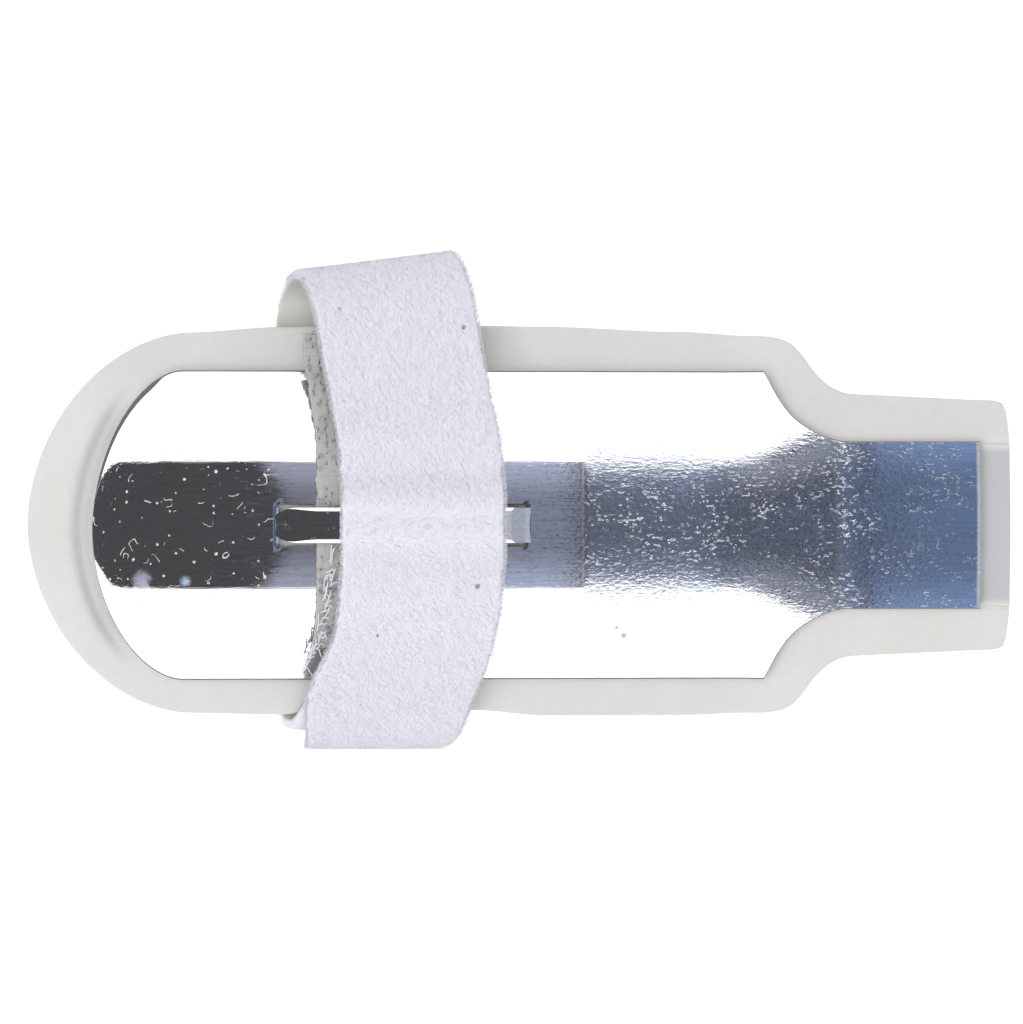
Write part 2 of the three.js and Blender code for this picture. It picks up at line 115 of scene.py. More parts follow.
def ripple(points: np.ndarray, size: float, seed: float = 0.0) -> np.ndarray:
    """Smooth noise between about -1 and 1 at each point.

    Args:
        points: Points in millimetres.
        size: Distance between the noise's swells, in millimetres.
        seed: Moves the noise, so that two pieces differ.

    Returns:
        One value for each point.
    """
    flat = points.reshape(-1, 3) / size + seed
    return np.array([noise.noise(Vector(p)) for p in flat]).reshape(points.shape[:-1])


# Sizes and surfaces


@dataclass(frozen=True)
class Trough:
    """The sheet metal's sizes and its outer surface."""

    thickness: float = 0.8
    half_width: float = 13.0
    tip_x: float = -35.8
    tip_reach: float = 7.4
    shoulder_x: float = 20.6
    shoulder_length: float = 6.4
    tail_half_width: float = 7.0
    tail_x: float = 38.6
    tip_skew: float = 0.5
    squareness: float = 1.8
    body_radius: float = 17.0
    tail_radius: float = 30.0
    blend_start: float = 17.0
    blend_end: float = 30.0
    spoon_start: float = -26.0
    spoon_radius: float = 11.6
    crown_base: float = 0.0
    crown_x: float = 15.5
    pitch: float = 0.0

    def top(self, x: np.ndarray, y: np.ndarray) -> np.ndarray:
        """Height of the metal's outer surface at a place in plan."""
        radius = mix(self.body_radius, self.tail_radius, smooth(x, self.blend_start, self.blend_end))
        crown = self.crown_base + self.pitch * (self.crown_x - x)
        return crown - sag(radius, y) - sag(self.spoon_radius, np.maximum(0.0, self.spoon_start - x))

    def normal(self, x: np.ndarray, y: np.ndarray) -> np.ndarray:
        """Outward normal of the metal's outer surface at a place in plan."""
        step = 1e-4
        slope_x = (self.top(x + step, y) - self.top(x - step, y)) / (2 * step)
        slope_y = (self.top(x, y + step) - self.top(x, y - step)) / (2 * step)
        n = np.stack([-slope_x, -slope_y, np.ones_like(slope_x)], axis=-1)
        return n / np.linalg.norm(n, axis=-1, keepdims=True)

    def at(self, x: np.ndarray, y: np.ndarray, lift: float) -> np.ndarray:
        """Points over the metal, raised along its normal."""
        x, y = np.broadcast_arrays(np.asarray(x, float), np.asarray(y, float))
        return np.stack([x, y, self.top(x, y)], axis=-1) + self.normal(x, y) * lift


@dataclass(frozen=True)
class Liner:
    """The foam's sizes."""

    glue: float = 0.3
    thickness: float = 3.5
    half_width: float = 16.3
    tip_x: float = -41.4
    tip_reach: float = 13.4
    shoulder_x: float = 20.7
    shoulder_length: float = 7.3
    tail_half_width: float = 11.1
    tail_taper: float = 0.5
    tail_x: float = 41.3
    tail_corner: float = 0.9
    side_flare: float = 0.5
    tip_flare: float = 0.06
    tail_flare: float = 0.7
    bend: float = 0.8
    tip_bend: float = 1.3
    groove_depth: float = 1.05
    groove_inner: float = 1.1
    groove_outer: float = 0.62
    groove_place: float = 0.31
    tongue_step: float = 0.3
    seam_depth: float = 0.4
    seam_width: float = 0.28
    sides: tuple[tuple[float, float, float], ...] = (
        (0.0, 1.0, 0.975), (0.16, 1.03, 0.985), (0.24, 1.035, 0.965), (0.5, 1.04, 0.966),
        (0.62, 1.035, 0.995), (0.85, 1.01, 0.995), (1.0, 0.985, 0.98))

    def width(self, share: float, side: int) -> float:
        """Half width of the foam at a share of the body's length, on the left (1) or right (-1) side."""
        column = 1 if side > 0 else 2
        for low, high in zip(self.sides, self.sides[1:]):
            if share <= high[0]:
                return self.half_width * float(mix(low[column], high[column], smooth(share, low[0], high[0])))
        return self.half_width * self.sides[-1][column]

    def drop(self, run: np.ndarray, slope: np.ndarray, flare: np.ndarray, bend: np.ndarray) -> np.ndarray:
        """How far the foam margin has fallen at a distance out from the metal's edge."""
        return flare * run + (slope - flare) * bend * (1 - np.exp(-run / bend))

    def depth(self, metal: Trough, x: float) -> float:
        """Depth of the foam's lowest edge under the crown at a place along the body."""
        start = self.tip_x + self.tip_reach
        share = (x - start) / (self.shoulder_x - start)
        widest = max(self.width(share, 1), self.width(share, -1))
        tilt = math.asin(metal.half_width / metal.body_radius)
        inset = metal.thickness + self.glue
        run = widest - metal.half_width + inset * math.sin(tilt)
        fall = float(self.drop(run, math.tan(tilt), self.side_flare, self.bend))
        under = self.thickness * math.cos(math.atan(self.side_flare))
        return float(sag(metal.body_radius, metal.half_width)) + inset * math.cos(tilt) + fall + under


@dataclass(frozen=True)
class Tapes:
    """Sizes of the strap and the hook tape, and the strap's loose bend."""

    width: float = 12.7
    strap: float = 1.1
    hook: float = 1.0
    gap: float = 0.3
    floor_x: float = -14.8
    lean: float = 0.455
    bow: float = 0.075
    bow_start: float = 14.3
    slant: float = 0.8
    slant_start: float = 15.0
    hook_shift: float = -1.6
    hook_outer_y: float = 16.2
    hook_inner_y: float = -10.4
    start_y: float = -10.9
    reach: float = 22.1
    height: float = 11.5
    end_z: float = 2.7
    around: float = 105.0
    rest_x: float = 15.5
    rest_clearance: float = 0.05
    bulge: tuple[tuple[float, float], ...] = (
        (0.79, 0.055), (0.93, 0.16), (0.995, 0.38), (0.985, 0.6), (0.9, 0.79), (0.765, 0.93), (0.64, 1.02))
    over: tuple[float, ...] = (9.2, 6.4, 3.8, 1.6, 0.0, -1.6, -3.8, -6.4, -9.2, -11.4, -12.7)

    def x(self, z: np.ndarray | float) -> np.ndarray | float:
        """Middle of the leaning loop at a height."""
        return self.floor_x + self.lean * z - self.bow * np.maximum(0.0, z - self.bow_start) ** 2


@dataclass(frozen=True)
class Bridge:
    """The raised strip that the hook tape passes under."""

    start: float = -20.4
    end: float = 0.9
    width: float = 2.9
    slit: float = 0.35
    start_ramp: float = 3.6
    sink: float = 0.14
    sink_end: float = -13.0
    end_ramp: float = 2.0
    arch: float = 0.3


SHOULDER = np.array([
    (0.0, 1.0, 0.0, 1.0), (0.02, 0.96, 0.16, 0.97), (0.06, 0.87, 0.3, 0.88), (0.115, 0.74, 0.4, 0.74),
    (0.18, 0.61, 0.48, 0.58), (0.28, 0.45, 0.56, 0.41), (0.4, 0.31, 0.66, 0.25), (0.57, 0.18, 0.78, 0.11),
    (0.77, 0.07, 0.9, 0.03), (1.0, 0.0, 1.0, 0.0)])


@dataclass
class Ribs:
    """Ribs of the splint from the tail on the right side, round the tip, to the tail on the left side."""

    spine: np.ndarray
    rim: np.ndarray
    edge: np.ndarray
    flare: np.ndarray
    bend: np.ndarray
    groove: np.ndarray
    metal: np.ndarray


class RibPlan:
    """Works out the ribs from the sizes of the metal and the foam."""

    def __init__(self, metal: Trough, foam: Liner, bridge: Bridge) -> None:
        """Keeps the sizes that the ribs come from."""
        self.metal, self.foam, self.bridge = metal, foam, bridge

    def side(self, side: int, tip: int, body: int, shoulder: int, tail: int, lip: int) -> list[tuple]:
        """Ribs of one side from the tip to the end of the foam's tail.

        Args:
            side: 1 for the left side, -1 for the right.
            tip: Steps round the tip.
            body: Steps along the body.
            shoulder: Steps along the shoulder.
            tail: Steps along the metal's tail.
            lip: Steps along the foam past the metal.

        Returns:
            One tuple for each rib, in the order of the fields of Ribs.
        """
        m, f, power = self.metal, self.foam, 2 / self.metal.squareness
        start, foam_start = m.tip_x + m.tip_reach, f.tip_x + f.tip_reach
        rows: list[tuple] = []

        def add(spine: float, rim: tuple, edge: tuple, flare: float, bend: float, groove: float = 0.0,
                metal: bool = True) -> None:
            """Adds one rib, with its widths turned to the side."""
            places = (rim[0], side * rim[1]), (edge[0], side * edge[1])
            rows.append((spine, *places, flare, bend, groove, metal))

        for i in range(tip + 1):
            share = i / tip
            forward = max(0.0, math.cos(share * math.pi / 2)) ** power
            out = math.sin(share * math.pi / 2) ** power
            turn = float(smooth(share, 0.45, 1))
            add(mix(start - m.tip_reach / 2, start, share),
                (start - m.tip_reach * forward, m.half_width * out - side * m.tip_skew * forward**2),
                (foam_start - f.tip_reach * forward, f.width(0, side) * out),
                mix(f.tip_flare, f.side_flare, turn), mix(f.tip_bend, f.bend, turn),
                1 - float(smooth(share, 0.42, 0.74)))
        cuts = (start, self.bridge.start + m.thickness / 2, self.bridge.end - m.thickness / 2, m.shoulder_x)
        lengths = np.diff(cuts)
        xs = [x for a, b, n in zip(cuts, cuts[1:], lengths / lengths.sum() * body)
              for x in np.linspace(a, b, max(2, round(n)) + 1)[1:]]
        for x in xs:
            share = (x - start) / (m.shoulder_x - start)
            add(x, (x, m.half_width), (mix(foam_start, f.shoulder_x, share), f.width(share, side)),
                f.side_flare, f.bend)
        for row in spline(SHOULDER, shoulder)[1:]:
            add(m.shoulder_x + m.shoulder_length * mix(row[0], row[2], 0.6),
                (m.shoulder_x + m.shoulder_length * row[0], mix(m.tail_half_width, m.half_width, row[1])),
                (f.shoulder_x + f.shoulder_length * row[2], mix(f.tail_half_width, f.width(1, side), row[3])),
                mix(f.side_flare, f.tail_flare, float(smooth(row[0], 0, 1))), f.bend)
        metal_tail, foam_tail = m.shoulder_x + m.shoulder_length, f.shoulder_x + f.shoulder_length
        for i in range(1, tail + 1):
            share = i / tail
            x = mix(metal_tail, m.tail_x, share)
            edge = mix(foam_tail, m.tail_x, share), f.tail_half_width - f.tail_taper * share
            add(x, (x, m.tail_half_width), edge, f.tail_flare, f.bend)
        for i in range(1, lip + 1):
            share = i / lip
            x = mix(m.tail_x, f.tail_x, share)
            corner = f.tail_corner * float(sag(1.0, share * share))
            add(x, (x, m.tail_half_width), (x - corner / 4, f.tail_half_width - f.tail_taper - corner),
                f.tail_flare, f.bend, metal=False)
        return rows

    def run(self, tip: int = 44, body: int = 110, shoulder: int = 34, tail: int = 26, lip: int = 7) -> Ribs:
        """Both sides as one run of ribs."""
        sizes = (tip, body, shoulder, tail, lip)
        right, left = self.side(-1, *sizes), self.side(1, *sizes)
        rows = [*reversed(right[1:]), *left]
        columns = [np.array(c, dtype=float) for c in zip(*rows)]
        columns[-1] = columns[-1] > 0
        return Ribs(*columns)


# Meshes


def grid_normals(grid: np.ndarray) -> np.ndarray:
    """Normals of a grid of points, shared where two of its points meet.

    Args:
        grid: Rows by columns by 3.

    Returns:
        Unit normals of the same shape.
    """
    rows, columns, _ = grid.shape
    keys = np.round(grid.reshape(-1, 3) * 1e4).astype(np.int64)
    _, ids = np.unique(keys, axis=0, return_inverse=True)
    ids = ids.reshape(rows, columns)
    a, b, c, d = grid[:-1, :-1], grid[1:, :-1], grid[1:, 1:], grid[:-1, 1:]
    faces = np.cross(c - a, d - b).reshape(-1, 3)
    sums = np.zeros((ids.max() + 1, 3))
    for corner in (ids[:-1, :-1], ids[1:, :-1], ids[1:, 1:], ids[:-1, 1:]):
        np.add.at(sums, corner.ravel(), faces)
    normals = sums[ids]
    return normals / np.maximum(np.linalg.norm(normals, axis=-1, keepdims=True), 1e-12)


class MeshMaker:
    """Gathers faces by their points and turns them into a mesh object in metres."""

    def __init__(self, shift: np.ndarray) -> None:
        """Keeps the move from the maker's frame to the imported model's frame, in millimetres."""
        self.shift = shift
        self.points: list[np.ndarray] = []
        self.faces: list[tuple[int, ...]] = []
        self.layers: dict[str, list[np.ndarray]] = {}
        self.count = 0

    def add_points(self, points: np.ndarray) -> int:
        """Adds points and returns the index of the first."""
        first = self.count
        flat = points.reshape(-1, 3)
        self.points.append(flat)
        self.count += len(flat)
        return first

    def grid(self, points: np.ndarray, keep: Callable[[int, int], bool] | None = None) -> np.ndarray:
        """Adds a grid of quads.

        Args:
            points: Rows by columns by 3.
            keep: Says which quads are made, by row and column, or None for all.

        Returns:
            The index of each point.
        """
        rows, columns, _ = points.shape
        ids = self.add_points(points) + np.arange(rows * columns).reshape(rows, columns)
        for i in range(rows - 1):
            for k in range(columns - 1):
                if keep is None or keep(i, k):
                    self.faces.append((ids[i, k], ids[i + 1, k], ids[i + 1, k + 1], ids[i, k + 1]))
        return ids

    def face(self, ids: Sequence[int]) -> None:
        """Adds one face by the indexes of its points."""
        self.faces.append(tuple(int(i) for i in ids))

    def make(self, name: str, weld: float = 0.002, outward: bool = True) -> bpy.types.Object:
        """Makes the object.

        Args:
            name: The object's name.
            weld: Points nearer than this many millimetres are merged.
            outward: Whether the faces are turned outward.

        Returns:
            The new object, linked to the scene.
        """
        mesh = bpy.data.meshes.new(name)
        points = (np.vstack(self.points) + self.shift) * MM
        mesh.from_pydata(points.tolist(), [], self.faces)
        for layer, values in self.layers.items():
            attribute = mesh.attributes.new(layer, "FLOAT", "POINT")
            attribute.data.foreach_set("value", np.concatenate(values).astype(np.float32))
        bm = bmesh.new()
        bm.from_mesh(mesh)
        bmesh.ops.remove_doubles(bm, verts=bm.verts, dist=weld * MM)
        if outward:
            bmesh.ops.recalc_face_normals(bm, faces=bm.faces)
        bm.to_mesh(mesh)
        bm.free()
        mesh.shade_smooth()
        made = bpy.data.objects.new(name, mesh)
        bpy.context.collection.objects.link(made)
        return made


def bevelled(piece: bpy.types.Object, width: float, angle: float = 50.0, segments: int = 2) -> None:
    """Rounds the sharp edges of a piece.

    Args:
        piece: The piece, whose mesh is replaced by the rounded one.
        width: Width of the rounding in millimetres.
        angle: Edges sharper than this many degrees are rounded.
        segments: Steps across the rounding.
    """
    bevel = piece.modifiers.new("rounded", "BEVEL")
    bevel.width, bevel.segments = width * MM, segments
    bevel.limit_method, bevel.angle_limit = "ANGLE", math.radians(angle)
    bevel.use_clamp_overlap = True
    bevel.harden_normals = False
    bake_modifiers(piece)


def bake_modifiers(piece: bpy.types.Object) -> None:
    """Puts the result of a piece's modifiers into its own mesh."""
    depsgraph = bpy.context.evaluated_depsgraph_get()
    made = bpy.data.meshes.new_from_object(piece.evaluated_get(depsgraph), depsgraph=depsgraph)
    old = piece.data
    piece.modifiers.clear()
    piece.data = made
    made.name = piece.name
    bpy.data.meshes.remove(old)
    piece.data.shade_smooth()


# Shader building


class Tree:
    """A short way to add and join nodes in one node tree."""

    def __init__(self, tree: bpy.types.NodeTree) -> None:
        """Keeps the tree that nodes are added to."""
        self.tree = tree

    def add(self, kind: str, settings: dict | None = None, **inputs: object) -> bpy.types.Node:
        """Adds a node.

        Args:
            kind: The node's type.
            settings: Properties of the node by name.
            inputs: Values or sockets by input name, with underscores for spaces.

        Returns:
            The new node.
        """
        node = self.tree.nodes.new(kind)
        for key, value in (settings or {}).items():
            setattr(node, key, value)
        for key, value in inputs.items():
            name = key.replace("_", " ")
            self.put(node, int(key[1:]) if key[0] == "i" and key[1:].isdigit() else name, value)
        return node

    def put(self, node: bpy.types.Node, socket: str | int, value: object) -> None:
        """Sets an input to a value, or joins it to another node's output."""
        target = node.inputs[socket]
        if isinstance(value, bpy.types.NodeSocket):
            self.tree.links.new(value, target)
        else:
            target.default_value = value

    def math(self, operation: str, a: object, b: object = 0.0, c: object = 0.0, clamp: bool = False
             ) -> object:
        """The output of a Math node."""
        node = self.add("ShaderNodeMath", {"operation": operation, "use_clamp": clamp}, i0=a, i1=b)
        if operation == "MULTIPLY_ADD":
            self.put(node, 2, c)
        return node.outputs[0]

    def ramp(self, value: object, low: float, high: float, to_low: float = 0.0, to_high: float = 1.0
             ) -> object:
        """A smooth step of a value, mapped to two results."""
        node = self.add("ShaderNodeMapRange", {"interpolation_type": "SMOOTHSTEP"}, Value=value)
        limits = {"From Min": low, "From Max": high, "To Min": to_low, "To Max": to_high}
        for name, number in limits.items():
            node.inputs[name].default_value = number
        return node.outputs[0]

    def blend(self, share: object, a: object, b: object) -> object:
        """A colour between two colours or sockets."""
        node = self.add("ShaderNodeMix", {"data_type": "RGBA"})
        self.put(node, 0, share)
        self.put(node, 6, a)
        self.put(node, 7, b)
        return node.outputs[2]

    def noise(self, vector: object, scale: float, detail: float = 3.0, rough: float = 0.55) -> object:
        """A noise value over a vector."""
        node = self.add("ShaderNodeTexNoise", None, Vector=vector, Scale=scale, Detail=detail,
                        Roughness=rough)
        return node.outputs[0]

    def stretched(self, scale: tuple[float, float, float], turn: float = 0.0) -> object:
        """Object coordinates, scaled along each axis and turned about Z."""
        place = self.add("ShaderNodeTexCoord").outputs["Object"]
        node = self.add("ShaderNodeMapping", None, Vector=place, Scale=scale, Rotation=(0.0, 0.0, turn))
        return node.outputs[0]


def colour(red: float, green: float, blue: float) -> tuple[float, float, float, float]:
    """A colour as a shader socket holds it."""
    return red, green, blue, 1.0


def make_group(name: str, inputs: dict[str, float]) -> tuple[bpy.types.NodeTree, Tree]:
    """Makes an empty shader group with one output, Mask.

    Args:
        name: The group's name.
        inputs: Number inputs and their defaults.

    Returns:
        The group and a builder for it, with nodes named In and Out.
    """
    group = bpy.data.node_groups.new(name, "ShaderNodeTree")
    for key, value in inputs.items():
        socket = group.interface.new_socket(key, in_out="INPUT", socket_type="NodeSocketFloat")
        socket.default_value = value
    group.interface.new_socket("Mask", in_out="OUTPUT", socket_type="NodeSocketFloat")
    for kind, label in (("NodeGroupInput", "In"), ("NodeGroupOutput", "Out")):
        node = group.nodes.new(kind)
        node.name = label
    return group, Tree(group)


class Effects:
    """Shader groups that more than one finish uses, each built once."""

    def __init__(self) -> None:
        """Builds the groups."""
        self.mottle = self._mottle()
        self.specks = self._specks()

    def _mottle(self) -> bpy.types.NodeTree:
        """Soft blotches over a surface, at a wide and a fine scale."""
        group, t = make_group("mottle", {"Wide Scale": 120.0, "Fine Scale": 900.0, "Fine Share": 0.4})
        given, out = group.nodes["In"], group.nodes["Out"]
        place = t.add("ShaderNodeTexCoord").outputs["Object"]
        wide = t.noise(place, 1.0, 3.0)
        fine = t.noise(place, 1.0, 4.0, 0.6)
        t.put(wide.node, "Scale", given.outputs["Wide Scale"])
        t.put(fine.node, "Scale", given.outputs["Fine Scale"])
        both = t.add("ShaderNodeMix", {"data_type": "FLOAT"})
        t.put(both, 0, given.outputs["Fine Share"])
        t.put(both, 2, wide)
        t.put(both, 3, fine)
        t.put(out, "Mask", t.ramp(both.outputs[0], 0.34, 0.66))
        return group

    def _specks(self) -> bpy.types.NodeTree:
        """Scattered specks of dust, as a mask of small round spots."""
        group, t = make_group("specks", {"Scale": 1500.0, "Size": 0.2, "Share": 0.15})
        given, out = group.nodes["In"], group.nodes["Out"]
        place = t.add("ShaderNodeTexCoord").outputs["Object"]
        cells = t.add("ShaderNodeTexVoronoi", {"feature": "F1"}, Vector=place)
        t.put(cells, "Scale", given.outputs["Scale"])
        chosen = t.add("ShaderNodeSeparateColor", None, Color=cells.outputs["Color"]).outputs[0]
        kept = t.math("LESS_THAN", chosen, given.outputs["Share"])
        reach = t.math("MULTIPLY", given.outputs["Size"], t.math("MULTIPLY_ADD", chosen, 2.0, 0.5))
        spot = t.math("LESS_THAN", cells.outputs["Distance"], reach)
        t.put(out, "Mask", t.math("MULTIPLY", kept, spot))
        return group


@dataclass(frozen=True)
class Finish:
    """What every finish has: its name and how it is laid in a material."""

    name: str

    def material(self, effects: Effects) -> bpy.types.Material:
        """Makes the material."""
        made = bpy.data.materials.new(self.name)
        made.use_nodes = True
        made.node_tree.nodes.clear()
        tree = Tree(made.node_tree)
        shader = tree.add("ShaderNodeBsdfPrincipled")
        output = tree.add("ShaderNodeOutputMaterial")
        made.node_tree.links.new(shader.outputs[0], output.inputs["Surface"])
        self.lay(tree, shader, effects)
        return made

    def lay(self, tree: Tree, shader: bpy.types.Node, effects: Effects) -> None:
        """Lays the finish's own nodes. Each finish has its own."""
        raise NotImplementedError

    @staticmethod
    def use(tree: Tree, group: bpy.types.NodeTree, **values: float) -> object:
        """Places a shared effect with its own values and returns its mask."""
        node = tree.add("ShaderNodeGroup", {"node_tree": group})
        for key, value in values.items():
            node.inputs[key.replace("_", " ")].default_value = value
        return node.outputs["Mask"]

    @staticmethod
    def layer(tree: Tree, name: str) -> object:
        """A value that the mesh holds at each point."""
        return tree.add("ShaderNodeAttribute", {"attribute_name": name}).outputs["Fac"]

    @staticmethod
    def relief(tree: Tree, shader: bpy.types.Node, height: object, strength: float, distance: float) -> None:
        """Lays a fine relief, with its depth in metres."""
        bump = tree.add("ShaderNodeBump", None, Strength=strength, Distance=distance, Height=height)
        tree.put(shader, "Normal", bump.outputs[0])

    @staticmethod
    def gloss(shader: bpy.types.Node, roughness: float | None = None, mirror: float | None = None) -> None:
        """Sets how rough a finish is and how strongly it mirrors, where it is the same all over."""
        for key, value in (("Roughness", roughness), ("Specular IOR Level", mirror)):
            if value is not None:
                shader.inputs[key].default_value = value


@dataclass(frozen=True)
class PolishedSheet(Finish):
    """Mirror-like sheet aluminium, brushed along its length, with scuffs, scratches, lint and dust.

    Zones of scuffing are rows of start, end, softness and amount along X, in millimetres. Stains and glints
    are
    rows of X, Y, radius and colour: the blue and the purple row are painted coloured glints, the brown rows
    are stains. The cut edge carries a painted shadow. Shares say how strongly each mark covers the metal, and
    weights how high it stands in the relief.
    """

    base: tuple = colour(0.82, 0.84, 0.88)
    dull: tuple = colour(0.56, 0.585, 0.63)
    # Near-black tone of the painted shadow along the sheet's cut edge.
    cut: tuple = colour(0.10, 0.10, 0.105)
    roughness: float = 0.02
    scuffs: tuple = ((5.6, 15.5, 0.5, 0.55), (5.6, 27.5, 0.3, 0.35), (26.6, 28.6, 0.7, 0.75),
                     (5.6, 45.0, 0.3, 0.22), (-15.0, 5.6, 1.5, 0.06))
    # The blue and the purple row are painted coloured glints; the two brown rows are stains.
    stains_and_glints: tuple = ((-27.6, -6.8, 0.5, colour(0.08, 0.40, 0.85)),
                     (-31.3, -6.7, 0.9, colour(0.16, 0.10, 0.50)),
                     (8.8, -11.4, 0.45, colour(0.10, 0.06, 0.04)),
                     (8.2, -10.7, 0.25, colour(0.10, 0.06, 0.04)))
    lint_tone: tuple = colour(0.80, 0.78, 0.72)
    clean_scuff: float = 0.004
    zone_edge: float = 0.3
    dusty_end: tuple[float, float] = (-0.0212, -0.0196)
    dust_share: float = 0.75
    lint_share: float = 0.7
    stain_and_glint_share: float = 0.6
    relief_strength: float = 0.55
    relief_depth: float = 0.000012
    fleck_weight: float = 4.0
    chip_weight: float = 4.2
    dust_weight: float = 0.8

    def lay(self, tree: Tree, shader: bpy.types.Node, effects: Effects) -> None:
        """Lays brushing, scuffs, scratches, lint, stain marks and dust over the metal, with painted coloured
        glints and a painted shadow along the cut edge.
        """
        place = tree.stretched((1.0, 1.0, 1.0))
        axes = tree.add("ShaderNodeSeparateXYZ", None, Vector=place).outputs
        brushed = tree.noise(tree.stretched((35.0, 4200.0, 4200.0)), 1.0, 2.0, 0.5)
        flecks = tree.noise(tree.stretched((2300.0, 4200.0, 4200.0)), 1.0, 3.0, 0.6)
        scuff = self._scuffing(tree, axes[0])
        scratch_a = tree.noise(tree.stretched((900.0, 9000.0, 3000.0), 0.5), 1.0, 2.0, 0.5)
        scratch_b = tree.noise(tree.stretched((900.0, 8000.0, 3000.0), -0.7), 1.0, 2.0, 0.5)
        scratches = tree.math("MAXIMUM", tree.ramp(scratch_a, 0.70, 0.75), tree.ramp(scratch_b, 0.71, 0.76))
        scratches = tree.math("MULTIPLY", scratches, tree.math("ADD", scuff, 0.25), 0.0, True)
        clusters = tree.ramp(tree.noise(place, 480.0, 3.0, 0.65), 0.44, 0.62, 0.05, 1.0)
        chips = tree.math("MULTIPLY", tree.ramp(flecks, 0.60, 0.635), tree.math("MULTIPLY", scuff, clusters))
        dusty = tree.ramp(axes[0], *self.dusty_end, 1.0, 0.12)
        fine = self.use(tree, effects.specks, Scale=1900.0, Size=0.3, Share=0.2)
        large = self.use(tree, effects.specks, Scale=1150.0, Size=0.2, Share=0.2)
        ragged = tree.ramp(tree.noise(place, 5200.0, 2.0), 0.42, 0.52)
        dust = tree.math("MULTIPLY", tree.math("MAXIMUM", fine, large), tree.math("MULTIPLY", ragged, dusty))
        line = tree.math("ABSOLUTE", tree.math("SUBTRACT", tree.noise(place, 620.0, 1.0), 0.5))
        pick = tree.math("MULTIPLY", tree.ramp(tree.noise(place, 700.0, 0.0), 0.65, 0.69), dusty)
        lint = tree.math("MULTIPLY", tree.ramp(line, 0.006, 0.014, 1.0, 0.0), pick)
        dirt = tree.math("MAXIMUM", tree.math("MULTIPLY", dust, self.dust_share),
                         tree.math("MULTIPLY", lint, self.lint_share))
        # Mask of the painted shadow along the cut edge.
        edge = tree.ramp(self.layer(tree, "cut_edge"), 0.35, 0.6)
        clouds = self.use(tree, effects.mottle, Wide_Scale=170.0, Fine_Scale=1500.0, Fine_Share=0.45)
        worn = tree.math("MULTIPLY", tree.ramp(brushed, 0.35, 0.7),
                         tree.math("MULTIPLY_ADD", clouds, 0.5, 0.5))
        tone = tree.blend(tree.math("MULTIPLY", worn, 0.5), self.base, self.dull)
        tone = tree.blend(dirt, tone, self.lint_tone)
        # Stains, and the blue and purple painted coloured glints.
        tone, spot = self._stains_and_glints(tree, axes, flecks, tone)
        # Paints the shadow along the cut edge.
        tone = tree.blend(edge, tone, self.cut)
        tree.put(shader, "Base Color", tone)
        # Where dust, lint, stains, the painted glints and the painted edge shadow lie, the metal gives way to
        # a plain surface.
        cover = tree.math("MAXIMUM", tree.math("MAXIMUM", dirt, spot), tree.math("MULTIPLY", edge, 0.9))
        tree.put(shader, "Metallic", tree.math("SUBTRACT", 1.0, cover, 0.0, True))
        rough = tree.math("MULTIPLY_ADD", scuff, 0.07, self.roughness)
        rough = tree.math("MULTIPLY_ADD", scratches, 0.12, rough)
        tree.put(shader, "Roughness", tree.math("MULTIPLY_ADD", cover, 0.45, rough, True))
        self.gloss(shader, mirror=0.3)
        height = tree.math("MULTIPLY_ADD", brushed, 0.35, tree.math("MULTIPLY", scratches, -0.5))
        height = tree.math("MULTIPLY_ADD", tree.math("MULTIPLY", flecks, scuff), self.fleck_weight, height)
        height = tree.math("MULTIPLY_ADD", chips, self.chip_weight, height)
        height = tree.math("MULTIPLY_ADD", dust, self.dust_weight, height)
        self.relief(tree, shader, height, self.relief_strength, self.relief_depth)

    def _scuffing(self, tree: Tree, along: object) -> object:
        """How scuffed the metal is at each place along X."""
        scuff: object = self.clean_scuff
        for start, end, soft, amount in self.scuffs:
            near, far = (start - self.zone_edge) * MM, (start + self.zone_edge) * MM
            inside = tree.math("MULTIPLY", tree.ramp(along, near, far),
                               tree.ramp(along, (end - soft * 4) * MM, (end + soft * 4) * MM, 1.0, 0.0))
            scuff = tree.math("MULTIPLY_ADD", inside, amount, scuff)
        return scuff

    def _stains_and_glints(self, tree: Tree, axes: Sequence[object], flecks: object, tone: object
                 ) -> tuple[object, object]:
        """Lays the stain marks and the painted coloured glints over a tone.

        Args:
            tree: Takes the nodes.
            axes: The place's X, Y and Z.
            flecks: Fine noise that frays the stains.
            tone: The tone under them.

        Returns:
            The stained tone and the stains' cover.
        """
        spot: object = 0.0
        for x, y, radius, tint in self.stains_and_glints:
            squares = []
            for axis, centre in ((axes[0], x), (axes[1], y)):
                off = tree.math("MULTIPLY", tree.math("SUBTRACT", axis, centre * MM), 1 / MM)
                squares.append(tree.math("POWER", off, 2.0))
            away = tree.math("SQRT", tree.math("ADD", *squares))
            away = tree.math("MULTIPLY_ADD", flecks, 1.1 * radius, away)
            mark = tree.ramp(away, radius * 0.5, radius * 1.7, 1.0, 0.0)
            mark = tree.math("MULTIPLY", mark, self.stain_and_glint_share)
            tone = tree.blend(mark, tone, tint)
            spot = tree.math("MAXIMUM", mark, spot)
        return tone, spot


